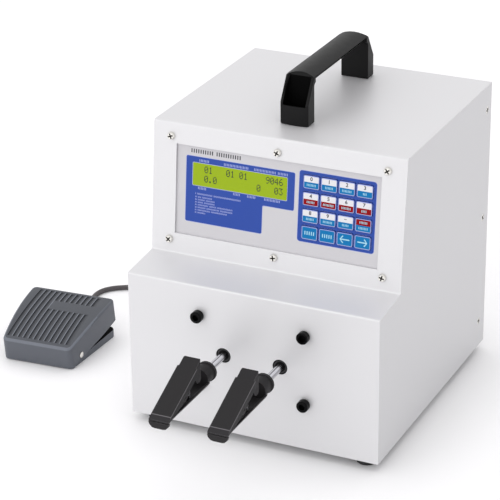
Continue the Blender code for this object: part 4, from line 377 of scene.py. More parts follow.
def add_driven_head(solids, profile, recess, depth, place, steps=ROUND_STEPS, knurl=None):
    """A screw head whose flat top has a recess; the profile ends at the flat's edge.

    The head has the piece's first material and the recess its second. A knurl is given
    as its lower and upper height and the share of the radius that every other step keeps."""
    work = bmesh.new()
    spin_profile(work, profile, steps)
    radius, top = profile[-1]
    flat_faces(work, [circle(radius, steps), recess], top)
    floor = flat_faces(work, [recess], top - depth)
    walls = bmesh.ops.extrude_edge_only(work, edges=list(floor[0].edges))
    bmesh.ops.translate(work, verts=of_kind(walls, bmesh.types.BMVert), vec=(0, 0, depth))
    for face in (*floor, *of_kind(walls, bmesh.types.BMFace)):
        face.material_index = 1
    if knurl:
        low, high, share = knurl
        for corner in work.verts:
            around = math.atan2(corner.co.y, corner.co.x) / math.tau * steps
            if low - TINY < corner.co.z < high + TINY and round(around) % 2:
                corner.co.x *= share
                corner.co.y *= share
    add_solid(solids, work, place, None)


def add_lettering(solids, text, height, low, high, place, material=0):
    """A line of plain digits, centred on its place."""
    drawing = bpy.data.curves.new("lettering", "FONT")
    drawing.body = text
    drawing.size = height / CAPITAL_SHARE
    drawing.align_x = "CENTER"
    drawing.align_y = "CENTER"
    drawing.extrude = (high - low) / 2
    drawing.offset = height * LETTER_WEIGHT
    drawing.resolution_u = LETTER_STEPS
    holder = bpy.data.objects.new("lettering", drawing)
    bpy.context.scene.collection.objects.link(holder)
    bpy.context.view_layer.update()
    graph = bpy.context.evaluated_depsgraph_get()
    mesh = bpy.data.meshes.new_from_object(holder.evaluated_get(graph))
    work = bmesh.new()
    work.from_mesh(mesh)
    bpy.data.objects.remove(holder, do_unlink=True)
    bpy.data.curves.remove(drawing)
    bpy.data.meshes.remove(mesh)
    add_solid(solids, work, place @ shift(0, 0, (low + high) / 2), material)


# Pieces
def make_piece(name, solids, materials, body, replaced=()):
    """A finished piece from its solids; it rides on a body and stands for CAD nodes."""
    mesh = bpy.data.meshes.new(name)
    solids.to_mesh(mesh)
    solids.free()
    for material in materials:
        mesh.materials.append(material)
    mesh.shade_smooth()
    mesh.set_sharp_from_angle(angle=SMOOTH_ANGLE)
    made = bpy.data.objects.new(name, mesh)
    bpy.context.scene.collection.objects.link(made)
    weights = made.modifiers.new("weights", "WEIGHTED_NORMAL")
    weights.keep_sharp = True
    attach(made, body)
    if replaced:
        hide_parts(*replaced)
    return made


def refine_piece(node, materials, body, width, segments=2, angle=CORNER_ANGLE,
                 shape=None, edge_material=None):
    """A piece that is a CAD node's solid again, in whole faces, shaped and with round edges."""
    work = bmesh.new()
    work.from_mesh(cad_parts[node].data)
    bmesh.ops.remove_doubles(work, verts=work.verts, dist=CAD_MERGE)
    bmesh.ops.dissolve_limit(work, angle_limit=CAD_FLAT, verts=work.verts, edges=work.edges)
    for face in work.faces:
        face.material_index = 0
    if shape:
        shape(work)
    rounded = soften(work, width, segments, angle)
    if edge_material is not None:
        for face in rounded:
            face.material_index = edge_material
    return make_piece(node + "_look", work, materials, body, [node])


def paint(nodes, material):
    """Give CAD nodes that stay in view a material."""
    for node in nodes:
        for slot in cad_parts[node].material_slots:
            slot.material = material


# Shader parts
COARSE_SHARE = 0.06
ROUGH_SWING = 0.12
# Painted edge highlights: how far an edge's bevel turns, and how pale the highlight is
HIGHLIGHT_FACING = 0.85
HIGHLIGHT_GAIN = 2.2
HIGHLIGHT_LIFT = 0.035


def feed(tree, node, inputs):
    """Join a node's inputs to sockets, or set them to values."""
    for name, value in inputs.items():
        if isinstance(value, bpy.types.NodeSocket):
            tree.links.new(value, node.inputs[name])
        else:
            node.inputs[name].default_value = value


def add_node(tree, kind, inputs=None, **settings):
    """A shader node with its settings, and its inputs joined or set."""
    made = tree.nodes.new(kind)
    for name, value in settings.items():
        setattr(made, name, value)
    feed(tree, made, inputs or {})
    return made


def calculate(tree, operation, *values, **settings):
    """What a Math node makes of its values."""
    made = add_node(tree, "ShaderNodeMath", dict(enumerate(values)), operation=operation,
                    **settings)
    return made.outputs[0]


def start_group(name, inputs, outputs):
    """An empty shader node group: its tree, what it is given, and its output node."""
    tree = bpy.data.node_groups.new(name, "ShaderNodeTree")
    for label, kind, default in inputs:
        made = tree.interface.new_socket(name=label, in_out="INPUT", socket_type=kind)
        made.default_value = default
    for label, kind in outputs:
        tree.interface.new_socket(name=label, in_out="OUTPUT", socket_type=kind)
    return tree, tree.nodes.new("NodeGroupInput").outputs, tree.nodes.new("NodeGroupOutput")


def surface_grain():
    """The group that gives a moulded, cast or coated surface its mottle and its grain."""
    if "Surface Grain" in bpy.data.node_groups:
        return bpy.data.node_groups["Surface Grain"]
    tree, given, target = start_group(
        "Surface Grain",
        (("Vector", "NodeSocketVector", (0, 0, 0)),
         ("Colour", "NodeSocketColor", (1, 1, 1, 1)),
         ("Roughness", "NodeSocketFloat", 0.5),
         ("Grain Scale", "NodeSocketFloat", 1000),
         ("Mottle", "NodeSocketFloat", 0.1)),
        (("Colour", "NodeSocketColor"), ("Roughness", "NodeSocketFloat"),
         ("Height", "NodeSocketFloat")),
    )
    grain = add_node(tree, "ShaderNodeTexNoise", {
        "Vector": given["Vector"], "Scale": given["Grain Scale"], "Detail": 3,
        "Roughness": 0.6})
    coarse = add_node(tree, "ShaderNodeTexNoise", {
        "Vector": given["Vector"], "Detail": 4, "Roughness": 0.55,
        "Scale": calculate(tree, "MULTIPLY", given["Grain Scale"], COARSE_SHARE)})
    blend = calculate(tree, "ADD", coarse.outputs["Fac"], grain.outputs["Fac"])
    centred = calculate(tree, "SUBTRACT", blend, 1.0)
    swing = calculate(tree, "MULTIPLY", centred, given["Mottle"])
    shade = add_node(tree, "ShaderNodeHueSaturation", {
        "Value": calculate(tree, "ADD", swing, 1.0), "Color": given["Colour"]})
    rough_swing = calculate(tree, "MULTIPLY", centred, ROUGH_SWING)
    feed(tree, target, {
        "Colour": shade.outputs["Color"],
        "Roughness": calculate(tree, "ADD", rough_swing, given["Roughness"], use_clamp=True),
        "Height": grain.outputs["Fac"]})
    return tree


def rubbed_edges():
    """The group that finds the edges of a moulding and paints a pale highlight on them."""
    if "Painted Edge Highlights" in bpy.data.node_groups:
        return bpy.data.node_groups["Painted Edge Highlights"]
    tree, given, target = start_group(
        "Painted Edge Highlights",
        (("Colour", "NodeSocketColor", (1, 1, 1, 1)),
         ("Edge Colour", "NodeSocketColor", (1, 1, 1, 1)),
         ("Amount", "NodeSocketFloat", 0.3),
         ("Radius", "NodeSocketFloat", 0.0006)),
        (("Colour", "NodeSocketColor"),),
    )
    rounded = add_node(tree, "ShaderNodeBevel", {"Radius": given["Radius"]}, samples=4)
    flat = add_node(tree, "ShaderNodeNewGeometry")
    match = add_node(tree, "ShaderNodeVectorMath", {
        0: rounded.outputs["Normal"], 1: flat.outputs["Normal"]}, operation="DOT_PRODUCT")
    mask = add_node(tree, "ShaderNodeMapRange", {
        "Value": match.outputs["Value"], "From Min": 1.0, "From Max": HIGHLIGHT_FACING,
        "To Min": 0.0, "To Max": 1.0})
    mixed = add_node(tree, "ShaderNodeMix", {
        "Factor": calculate(tree, "MULTIPLY", mask.outputs["Result"], given["Amount"]),
        "A": given["Colour"], "B": given["Edge Colour"]}, data_type="RGBA")
    feed(tree, target, {"Colour": mixed.outputs["Result"]})
    return tree


def seen_ray(tree):
    """One where a ray of the camera, of gloss or of glass asks, and nought elsewhere."""
    path = add_node(tree, "ShaderNodeLightPath").outputs
    gloss = calculate(tree, "MAXIMUM", path["Is Glossy Ray"], path["Is Transmission Ray"])
    return calculate(tree, "MAXIMUM", path["Is Camera Ray"], gloss)


def finish(name, base, roughness, metallic=0.0, grain=1200, mottle=0.1, bump=0.00002,
           stretch=(1, 1, 1), painted_highlight=0.0, shine=0.5, glow=0.0):
    """A material with grain, mottle and relief of its own scale, and a painted highlight on its
    edges if asked.
    """
    if name in bpy.data.materials:
        return bpy.data.materials[name]
    material = bpy.data.materials.new(name)
    material.use_nodes = True
    tree = material.node_tree
    shader = tree.nodes["Principled BSDF"]
    place = add_node(tree, "ShaderNodeTexCoord")
    mapping = add_node(tree, "ShaderNodeMapping", {
        "Vector": place.outputs["Object"], "Scale": stretch})
    surface = add_node(tree, "ShaderNodeGroup", {
        "Vector": mapping.outputs["Vector"], "Colour": (*base, 1), "Roughness": roughness,
        "Grain Scale": grain, "Mottle": mottle}, node_tree=surface_grain())
    colour_out = surface.outputs["Colour"]
    # Painted highlight: the edges are mixed towards a paler copy of the colour
    if painted_highlight:
        pale = tuple(min(1, channel * HIGHLIGHT_GAIN + HIGHLIGHT_LIFT) for channel in base)
        edges = add_node(tree, "ShaderNodeGroup", {
            "Colour": colour_out, "Edge Colour": (*pale, 1), "Amount": painted_highlight},
            node_tree=rubbed_edges())
        colour_out = edges.outputs["Colour"]
    relief = add_node(tree, "ShaderNodeBump", {
        "Height": surface.outputs["Height"], "Strength": 1.0, "Distance": bump})
    feed(tree, shader, {
        "Base Color": colour_out, "Roughness": surface.outputs["Roughness"],
        "Normal": relief.outputs["Normal"], "Metallic": metallic,
        "Specular IOR Level": shine})
    if glow:
        feed(tree, shader, {"Emission Color": colour_out, "Emission Strength": glow})
    return material


# Materials
BAR_PAINTED_REFLECTIONS = ((0.0, 1.4), (1.0, 0.35), (0.3, 1.5), (0.42, 1.7), (0.48, 0.4), (0.53, 0.45),
             (0.6, 1.6), (0.72, 1.4), (0.82, 0.4), (0.9, 0.25))


def white_coat():
    return finish("white_coat", colours().coat, 0.5, grain=900, mottle=0.012,
                  bump=0.000012, shine=0.35)


def film():
    return finish("printed_film", colours().film, 0.5, grain=2600, mottle=0.03,
                  bump=0.000004, shine=0.3)


def blue_ink():
    return finish("blue_ink", colours().blue, 0.42, grain=2600, mottle=0.05,
                  bump=0.000004)


def border_ink():
    return finish("border_ink", colours().border, 0.42, grain=2600, mottle=0.03,
                  bump=0.000003)


def dark_ink():
    return finish("dark_ink", tint(40, 42, 52), 0.45, grain=2600, mottle=0.05, bump=0.000003)


def key_white():
    return finish("key_white", colours().key_top, 0.35, grain=2600, mottle=0.02,
                  bump=0.000004)


def key_cyan():
    return finish("key_cyan", colours().cyan, 0.45, grain=2600, mottle=0.04,
                  bump=0.000004, shine=0.2)


def key_red():
    return finish("key_red", colours().red, 0.45, grain=2600, mottle=0.04,
                  bump=0.000004, shine=0.15)


def lit_display():
    return finish("lit_display", colours().glow, 0.25, grain=1400, mottle=0.03,
                  bump=0.000002, shine=0.15, glow=0.2)


def dark_dots():
    return finish("dark_dots", tint(40, 60, 10), 0.35, grain=2600, mottle=0.05,
                  bump=0.000002)


def black_moulding():
    return finish("black_moulding", colours().handle, 0.45, grain=2200, mottle=0.10,
                  bump=0.00002, painted_highlight=0.10, shine=0.2)


def charcoal_moulding():
    return finish("charcoal_moulding", colours().clip, 0.55, grain=1800, mottle=0.14,
                  bump=0.00002, stretch=(1, 0.35, 1), painted_highlight=0.9, shine=0.3)


# Painted highlight on the clip levers' rounded edges, edge strips and crease
def worn_moulding():
    return finish("worn_moulding", tint(112, 110, 113), 0.5, grain=1800, mottle=0.2,
                  bump=0.00002, shine=0.3)


# A slightly paler copy of the clips' moulding: painted highlight on the lever's lip
def lip_moulding():
    return finish("lip_moulding", tint(40, 38, 41), 0.5, grain=1800, mottle=0.14,
                  bump=0.00002, shine=0.3)


# Painted shade: near black, for the handle's pockets and the pedal base's top under the cover
def pocket_dark():
    return finish("pocket_dark", tint(3, 3, 3), 0.7, grain=2200, mottle=0.1, bump=0.00001,
                  shine=0.05)


def grey_moulding():
    return finish("grey_moulding", colours().pedal, 0.46, grain=1600, mottle=0.08,
                  bump=0.000025, painted_highlight=0.35)


def pedal_shade(name, share):
    """The pedal's moulding made paler or darker by a share: painted highlight or painted shade.
    """
    base = tuple(channel * share for channel in colours().pedal)
    return finish("pedal_" + name, base, 0.5, grain=1600, mottle=0.16, bump=0.00003)


def cord_jacket():
    return finish("cord_jacket_look", colours().jacket, 0.55, grain=1500, mottle=0.12,
                  bump=0.00002)


def rubber():
    return finish("rubber_look", tint(38, 38, 40), 0.75, grain=1500, mottle=0.15,
                  bump=0.00003)


def nickel():
    return finish("nickel_look", tint(230, 228, 222), 0.15, metallic=1, grain=1400,
                  mottle=0.10, bump=0.000006)


def black_steel():
    return finish("black_steel_look", tint(5, 5, 6), 0.22, grain=1800, mottle=0.15,
                  bump=0.00001, shine=0.1)


def ground_steel():
    """Ground round bar, with painted reflection: the dark and bright lines that a bright room
    leaves along it, set by how the surface faces the view.
    """
    if "ground_steel" in bpy.data.materials:
        return bpy.data.materials["ground_steel"]
    material = finish("ground_steel", tint(190, 190, 194), 0.24, metallic=1, grain=900,
                      mottle=0.05, bump=0.000001, stretch=(4, 0.4, 4))
    tree = material.node_tree
    shader = tree.nodes["Principled BSDF"]
    facing = add_node(tree, "ShaderNodeLayerWeight", {"Blend": 0.5})
    lines = add_node(tree, "ShaderNodeValToRGB", {"Fac": facing.outputs["Facing"]})
    ramp = lines.color_ramp
    for place, level in BAR_PAINTED_REFLECTIONS:
        stop = ramp.elements.new(place) if 0 < place < 1 else ramp.elements[-round(place)]
        stop.color = (level, level, level, 1)
    plain = shader.inputs["Base Color"].links[0].from_socket
    lined = add_node(tree, "ShaderNodeMix", {"Factor": 1.0, "A": plain,
                                             "B": lines.outputs["Color"]},
                     data_type="RGBA", blend_type="MULTIPLY")
    tree.links.new(lined.outputs["Result"], shader.inputs["Base Color"])
    return material


# Painted shade for the screws' cross recesses and the rings round the pedal's pin ends
def recess_dark():
    return finish("recess_dark", tint(46, 42, 36), 0.4, metallic=0.5, grain=1800, mottle=0.1,
                  bump=0.000006)


def arrow_ink():
    return finish("arrow_ink", tint(176, 228, 244), 0.42, grain=2600, mottle=0.03,
                  bump=0.000003)


def spring_steel():
    return finish("spring_steel", tint(150, 150, 152), 0.3, metallic=1, grain=1800,
                  mottle=0.1, bump=0.000008)


def seal():
    return finish("bearing_seal", tint(30, 30, 32), 0.5, grain=1800, mottle=0.1,
                  bump=0.00001)


def cast_metal():
    return finish("cast_metal_look", tint(150, 152, 156), 0.5, metallic=0.9, grain=700,
                  mottle=0.12, bump=0.00004)


def gear_steel():
    return finish("gear_steel_look", tint(140, 142, 148), 0.32, metallic=1, grain=1500,
                  mottle=0.12, bump=0.00001)


def supply_case():
    return finish("supply_case_look", tint(170, 172, 176), 0.4, metallic=0.9, grain=900,
                  mottle=0.08, bump=0.00001, stretch=(1, 0.2, 1))


def board():
    return finish("board_look", tint(20, 82, 50), 0.35, grain=500, mottle=0.25,
                  bump=0.00003)


def display_case():
    return finish("display_case", tint(30, 32, 34), 0.4, grain=1500, mottle=0.12,
                  bump=0.00001)


# Housing
HOLE_SQUARE = 1.6
ANYWHERE = (-math.inf, math.inf)


def faces_in_view(work, view, span):
    """The faces in a view's plane whose middle lies in a span up it, each with its middle."""
    local = view.inverted()
    found = [(face, local @ face.calc_center_median()) for face in work.faces]
    return [(face, middle) for face, middle in found
            if abs(middle.z) < ON_FACE and span[0] < middle.y < span[1]]


def cut_window(work, view, window, span=ANYWHERE):
    """Take a window out of the flat faces that lie in a view's plane."""
    left, right, low, high = window
    for along, value in ((0, left), (0, right), (1, low), (1, high)):
        place, direction = Vector((0, 0, 0)), Vector((0, 0, 0))
        place[along] = value
        direction[along] = 1
        parts = {part: True for face, middle in faces_in_view(work, view, span)
                 for part in (face, *face.edges, *face.verts)}
        bmesh.ops.bisect_plane(work, geom=list(parts), dist=TINY, plane_co=view @ place,
                               plane_no=view.to_3x3() @ direction)
    inside = [face for face, middle in faces_in_view(work, view, span)
              if left < middle.x < right and low < middle.y < high]
    bmesh.ops.delete(work, geom=inside, context="FACES")


def cut_round(work, view, centre, radius):
    """Take a round hole out of a flat face: a square is cut out and filled up again."""
    reach = radius * HOLE_SQUARE
    window = (centre[0] - reach, centre[0] + reach, centre[1] - reach, centre[1] + reach)
    cut_window(work, view, window)
    patch = bmesh.new()
    flat_faces(patch, [rectangle(*window), circle(radius, SMALL_STEPS, centre)], 0)
    patch.transform(view)
    pour(patch, work)


class TWISTER_OT_housing(bpy.types.Operator):
    """Fold the housing's sheet, with its opening, its bearing holes and its screw seats"""
    bl_idname = "twister.housing"
    bl_label = "Housing"

    def execute(self, context):
        work = bmesh.new()
        self.fold_sheet(work)
        cut_window(work, MACHINE.inverted() @ PANEL_VIEW,
                   (-OPENING_HALF, OPENING_HALF, OPENING_LOW, OPENING_HIGH),
                   (0, PANEL_LENGTH))
        for side, label, view in SIDE_VIEWS:
            cut_round(work, FRONT_VIEW, (side * SPINDLE_X, SPINDLE_Z), BEARING_RADIUS)
            for y, z in SIDE_SCREWS:
                cut_round(work, shift(side * HALF_WIDTH, 0, 0) @ view, (side * y, z),
                          SIDE_SCREW_RADIUS + GAP)
        bmesh.ops.remove_doubles(work, verts=work.verts, dist=TINY)
        bmesh.ops.recalc_face_normals(work, faces=work.faces)
        top = max(work.faces, key=lambda face: face.calc_center_median().z)
        if top.normal.z < 0:
            bmesh.ops.reverse_faces(work, faces=work.faces)
        work.transform(MACHINE)
        made = make_piece("housing", work, [white_coat()], "machine", ["housing_shell"])
        self.sharpen_rims(made.data)
        wall = made.modifiers.new("wall", "SOLIDIFY")
        wall.thickness = SHEET
        wall.offset = -1
        wall.use_even_offset = True
        made.modifiers.move(made.modifiers.find("wall"), 0)
        return {"FINISHED"}

    def fold_sheet(self, work):
        """The sheet's outer face: the stepped front, the top and both sides, open below."""
        profile = fillet(
            [(0, SHELL_BOTTOM), (0, LOWER_FRONT_TOP), LEDGE_REAR, (PANEL_REAR, SHELL_TOP),
             (SHELL_DEPTH, SHELL_TOP), (SHELL_DEPTH, SHELL_BOTTOM)],
            [0, BEND_RADIUS, BEND_RADIUS, BEND_RADIUS, 0, 0], BEND_STEPS)
        lift_faces(work, [profile], -HALF_WIDTH, HALF_WIDTH)
        bmesh.ops.recalc_face_normals(work, faces=work.faces)
        ends = [
            face for face in work.faces
            if all(corner.co.y < SHELL_BOTTOM + TINY for corner in face.verts)
            or all(corner.co.x > SHELL_DEPTH - TINY for corner in face.verts)
        ]
        bmesh.ops.delete(work, geom=ends, context="FACES")
        soften(work, SHEET, SIDE_BEND_STEPS, test=lambda edge: all(
            abs(abs(corner.co.z) - HALF_WIDTH) < TINY for corner in edge.verts))
        work.transform(SIDE_VIEW)

    def sharpen_rims(self, mesh):
        """Keep the sheet's open rims sharp, where its wall will turn inwards."""
        work = bmesh.new()
        work.from_mesh(mesh)
        for edge in work.edges:
            if edge.is_boundary:
                edge.smooth = False
        work.to_mesh(mesh)
        work.free()


# Screws
GAP = 0.0001
RECESS_SHARE = 0.6
SIDE_SCREWS = ((0.2343, 0.2270), (0.2317, 0.1296), (0.2300, 0.0320))
SIDE_SCREW_RADIUS = 0.0031
SIDE_SCREW_HEAD = ((0, -SHEET), (0.6, -SHEET), (1, -0.0002), (0.94, -GAP))
SIDE_SCREW_CROSS = (1.4, 0.4)
SIDE_SCREW_TURNS = (15, 45, 75)
PANEL_SCREW_PLACES = ((-0.094, 0.0989), (0, 0.0989), (0.094, 0.0989),
                      (-0.094, 0.0114), (0, 0.0114), (0.094, 0.0114))
PANEL_SCREW_RADIUS = 0.0034
PANEL_SCREW_HEIGHT = 0.0021
PANEL_SCREW_CROWN = math.radians(42)
PANEL_SCREW_TURNS = (20, 65, 35, 50, 10, 75)
HEAD_LIFT = 0.0003
CAP_HEIGHT = 0.006
CAP_EDGE = 0.0006
CAP_SOCKET = 0.58
CAP_STEPS = 64
CAP_KNURL = 0.97
CAP_TURN = 12


class TWISTER_OT_screws(bpy.types.Operator):
    """Turn the panel's pan screws, the lower front's cap screws and the side screws"""
    bl_idname = "twister.screws"
    bl_label = "Screws"

    def execute(self, context):
        self.add_panel_screws()
        for name in CAP_SCREWS:
            self.add_cap_screw("cap_screw_" + name)
        self.add_side_screws()
        return {"FINISHED"}

    def add_panel_screws(self):
        """The domed screws round the opening, each with a cross recess."""
        recess = cross(sizes().screw_cross, sizes().screw_slot)
        crown = arc(PANEL_SCREW_RADIUS, 0, PANEL_SCREW_CROWN, CORNER_STEPS)
        share = PANEL_SCREW_HEIGHT / crown[-1][1]
        dome = [(0, 0)] + [(radius, height * share) for radius, height in crown]
        for name, place, degrees in zip(PANEL_SCREWS, PANEL_SCREW_PLACES, PANEL_SCREW_TURNS):
            node = "panel_screw_" + name
            solids = bmesh.new()
            add_driven_head(solids, dome, recess, PANEL_SCREW_HEIGHT * RECESS_SHARE,
                            PANEL_VIEW @ shift(*place, HEAD_LIFT) @ turn(degrees, "Z"))
            # The cross recess gets painted shade
            make_piece(node + "_look", solids, [nickel(), recess_dark()], "machine", [node])

    def add_cap_screw(self, node):
        """A knurled cap screw of the lower front, with its hexagon socket."""
        low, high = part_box(node)
        radius = (high.x - low.x) / 2
        centre = Vector(((low.x + high.x) / 2, ORIGIN.y, (low.z + high.z) / 2))
        edge, height = CAP_EDGE, CAP_HEIGHT
        profile = [
            (0, HEAD_LIFT), (radius - edge / 2, HEAD_LIFT), (radius, edge),
            (radius, height - 2 * edge), (radius, height - edge),
            (radius - edge / 3, height - edge / 3), (radius - edge, height)]
        solids = bmesh.new()
        add_driven_head(solids, profile, circle(radius * CAP_SOCKET, HEXAGON), height / 2,
                        Matrix.Translation(centre) @ FRONT_VIEW @ turn(CAP_TURN, "Z"),
                        CAP_STEPS, (edge, height - 2 * edge, CAP_KNURL))
        make_piece(node + "_look", solids, [black_steel(), black_steel()], "machine", [node])

    def add_side_screws(self):
        """The countersunk screws of both sides, which stand for no CAD node."""
        radius = SIDE_SCREW_RADIUS
        head = [(radius * share, height) for share, height in SIDE_SCREW_HEAD]
        recess = cross(*(radius * share for share in SIDE_SCREW_CROSS))
        for side, label, view in SIDE_VIEWS:
            for index, (y, z) in enumerate(SIDE_SCREWS):
                place = MACHINE @ shift(side * HALF_WIDTH, y, z) @ view
                solids = bmesh.new()
                # The cross recess gets painted shade
                add_driven_head(solids, head, recess, SHEET * RECESS_SHARE,
                                place @ turn(SIDE_SCREW_TURNS[index], "Z"), SMALL_STEPS)
                make_piece("side_screw_" + label + "_" + str(index + 1), solids,
                           [nickel(), recess_dark()], "machine")


# Controls
PLATE_PRINT = 0.00004
FIELD_BORDER = 0.00035
KEYPAD_CENTRE = (0.05245, 0.058075)
KEYPAD_FIELD = (0.0186, 0.0851, 0.0284, 0.0879)
KEYPAD_CORNERS = (0.0028, 0.0022)
KEY_HOLE = 0.0004
DISPLAY_FIELD = ((-0.0812, 0.0286), (-0.0121, 0.0286), (-0.0121, 0.0525),
                 (0.0154, 0.0525), (0.0154, 0.0847), (-0.0812, 0.0847))
DISPLAY_CORNERS = (0.0018, 0.0013)
DISPLAY_WINDOW = (-0.0750, 0.0087, 0.0601, 0.0793)
WINDOW_CORNER = 0.0008
LETTERS = 20
LETTER_SIDE = 0.0030
LETTER_TOP = 0.0024
LINE_STEP = 0.0078
DOT_HALF = 0.49
DOT_STRETCH = 1.22
BAR_WIDTH = 0.28
BAR_PITCH = 0.62
PRINT_LINES = (
    (-0.0692, 0.0815, 0.0021, (7,)), (-0.0473, 0.0815, 0.0021, (17,)),
    (-0.0206, 0.0815, 0.0021, (15, 7)), (-0.0699, 0.0582, 0.0021, (6,)),
    (-0.0384, 0.0582, 0.0021, (5,)), (-0.0260, 0.0582, 0.0021, (6,)),
    (-0.0110, 0.0582, 0.0021, (11,)),
    (-0.0722, 0.0533, 0.0014, (1, 16, 28)), (-0.0722, 0.0506, 0.0013, (2, 4, 11)),
    (-0.0722, 0.0484, 0.0013, (2, 8, 10)), (-0.0722, 0.0462, 0.0013, (2, 6, 12)),
    (-0.0722, 0.0440, 0.0013, (2, 12, 8, 17)), (-0.0722, 0.0418, 0.0013, (2, 9, 14, 14)),
    (-0.0722, 0.0396, 0.0013, (2, 14, 18)), (-0.0722, 0.0374, 0.0013, (2, 9)),
)
HEADING_LINE = (-0.0767, 0.0889, 0.0033, (10, 11))
KEYS = 16
KEYS_ACROSS = 4
KEY_PROUD = 0.0008
KEY_FACE = 0.00010
KEY_MARGIN = 0.0002
KEY_PRINT_LOWER = 0.0002
KEY_LEAST_CORNER = 0.0003
KEY_CORNER_STEPS = 4
WHITE, CYAN, RED, DARK, PALE, RIM = range(6)
RED_ROW = 1
CYAN_ROW = 3
DIGIT_KEYS = 10
DIGIT_RISE = 0.56
DASH_KEY = 10
DASH_HALF = (0.0011, 0.0002)
RED_KEY = 11
RED_KEY_BARS = 6
RED_KEY_BARS_LEFT = -0.0032
WORD_KEYS = (12, 13)
WORD_BAR = 0.0030
SMALL_BAR = 0.0019
KEY_BARS = {0: 7, 1: 6, 2: 7, 3: 3, 4: 6, 5: 8, 6: 7, 7: 4, 8: 6, 9: 7, 10: 5, 11: 7,
            12: 5, 13: 5}
ARROW_KEYS = {14: turn(180, "Z"), 15: Matrix()}
ARROW_REACH = 0.0042
ARROW_SHAFT = 0.0005
ARROW_HEAD = 0.0032
ARROW_BARB = 0.0009
ARROW_NECK = 0.0012
DOTS = {
    "0": "01110 10001 10011 10101 11001 10001 01110",
    "1": "00100 01100 00100 00100 00100 00100 01110",
    "2": "01110 10001 00001 00110 01000 10000 11111",
    "3": "11111 00010 00100 00010 00001 10001 01110",
    "4": "00010 00110 01010 10010 11111 00010 00010",
    "5": "11111 10000 11110 00001 00001 10001 01110",
    "6": "00110 01000 10000 11110 10001 10001 01110",
    "7": "11111 00001 00010 00100 01000 01000 01000",
    "8": "01110 10001 10001 01110 10001 10001 01110",
    "9": "01110 10001 10001 01111 00001 00010 01100",
    ".": "00000 00000 00000 00000 00000 01100 01100",
}


def key_centre(index):
    """A key's centre on the panel; keys are counted from the top left."""
    row, column = divmod(index, KEYS_ACROSS)
    middle = (KEYS_ACROSS - 1) / 2
    return (KEYPAD_CENTRE[0] + (column - middle) * sizes().key_pitch_across,
            KEYPAD_CENTRE[1] + (middle - row) * sizes().key_pitch_up)


def key_hole(index):
    """The outline that the printed field leaves open round a key."""
    x, s = key_centre(index)
    half_width = sizes().key_width / 2 + KEY_HOLE
    half_height = sizes().key_height / 2 + KEY_HOLE
    return rectangle(x - half_width, x + half_width, s - half_height, s + half_height,
                     sizes().key_corner + KEY_HOLE, KEY_CORNER_STEPS)


def add_bars(solids, left, middle, high, words, lift, place, material):
    """A row of plain upright bars, where print would be."""
    for count in words:
        for bar in range(count):
            x = left + bar * high * BAR_PITCH
            outline = rectangle(x, x + high * BAR_WIDTH, middle - high / 2, middle + high / 2)
            add_plate(solids, [outline], lift, lift + PLATE_PRINT, place, material)
        left += (count + 1) * high * BAR_PITCH


class TWISTER_OT_prints(bpy.types.Operator):
    """Print the control plate's blue fields with their pale borders"""
    bl_idname = "twister.prints"
    bl_label = "Printed fields"

    def execute(self, context):
        paint(["control_plate"], film())
        solids = bmesh.new()
        rim = FIELD_BORDER
        holes = [key_hole(index) for index in range(KEYS)]
        left, right, low, high = KEYPAD_FIELD
        outer, inner = KEYPAD_CORNERS
        self.add_field(solids, [rectangle(left, right, low, high, outer), *holes],
                       [rectangle(left + rim, right - rim, low + rim, high - rim, inner),
                        *holes])
        left, right, low, high = DISPLAY_WINDOW
        outer, inner = DISPLAY_CORNERS
        self.add_field(
            solids,
            [fillet(DISPLAY_FIELD, outer), rectangle(*DISPLAY_WINDOW, WINDOW_CORNER)],
            [fillet(self.inset_field(rim), inner),
             rectangle(left - rim, right + rim, low - rim, high + rim, WINDOW_CORNER + rim)])
        for left, middle, high, words in PRINT_LINES:
            add_bars(solids, left, middle, high, words, 2 * PLATE_PRINT, PLATE_FACE, 1)
        add_bars(solids, *HEADING_LINE, 0, PLATE_FACE, 2)
        make_piece("printed_fields", solids, [blue_ink(), border_ink(), dark_ink()],
                   "machine")
        return {"FINISHED"}

    def add_field(self, solids, border, ink):
        """A field: its pale border's outlines below, its blue ink's outlines above."""
        add_plate(solids, border, 0, PLATE_PRINT, PLATE_FACE, 1)
        add_plate(solids, ink, PLATE_PRINT, 2 * PLATE_PRINT, PLATE_FACE, 0)

    def inset_field(self, rim):
        """The display field's corners, moved in by the border."""
        left, low = DISPLAY_FIELD[0]
        notch_x, notch_s = DISPLAY_FIELD[2]
        right, high = DISPLAY_FIELD[4]
        return [(left + rim, low + rim), (notch_x - rim, low + rim),
                (notch_x - rim, notch_s + rim), (right - rim, notch_s + rim),
                (right - rim, high - rim), (left + rim, high - rim)]


class TWISTER_OT_display(bpy.types.Operator):
    """Light the display and set the dots of its plain digits"""
    bl_idname = "twister.display"
    bl_label = "Display"

    def execute(self, context):
        left, right, low, high = DISPLAY_WINDOW
        solids = bmesh.new()
        outline = rectangle(left + GAP, right - GAP, low + GAP, high - GAP, WINDOW_CORNER)
        add_plate(solids, [outline], 0, PLATE_PRINT, PLATE_FACE, 0)
        stage = context.scene.twister_stage
        step = (right - left - 2 * LETTER_SIDE) / LETTERS
        for line, text in enumerate((stage.display_top, stage.display_bottom)):
            top = high - LETTER_TOP - line * LINE_STEP
            for place, letter in enumerate(text[:LETTERS]):
                self.add_letter(solids, letter, left + LETTER_SIDE + place * step, top)
        make_piece("display_glass", solids, [lit_display(), dark_dots()], "machine")
        paint(["lcd_module"], display_case())
        return {"FINISHED"}

    def add_letter(self, solids, letter, left, top):
        """A digit's dots, from the middle of its upper left one."""
        pitch = sizes().dot_pitch
        half = pitch * DOT_HALF
        for row, pattern in enumerate(DOTS.get(letter, "").split()):
            for column, mark in enumerate(pattern):
                if mark == "0":
                    continue
                x = left + column * pitch
                s = top - row * pitch * DOT_STRETCH
                outline = rectangle(x - half, x + half, s - half * DOT_STRETCH,
                                    s + half * DOT_STRETCH)
                add_plate(solids, [outline], PLATE_PRINT, 2 * PLATE_PRINT, PLATE_FACE, 1)


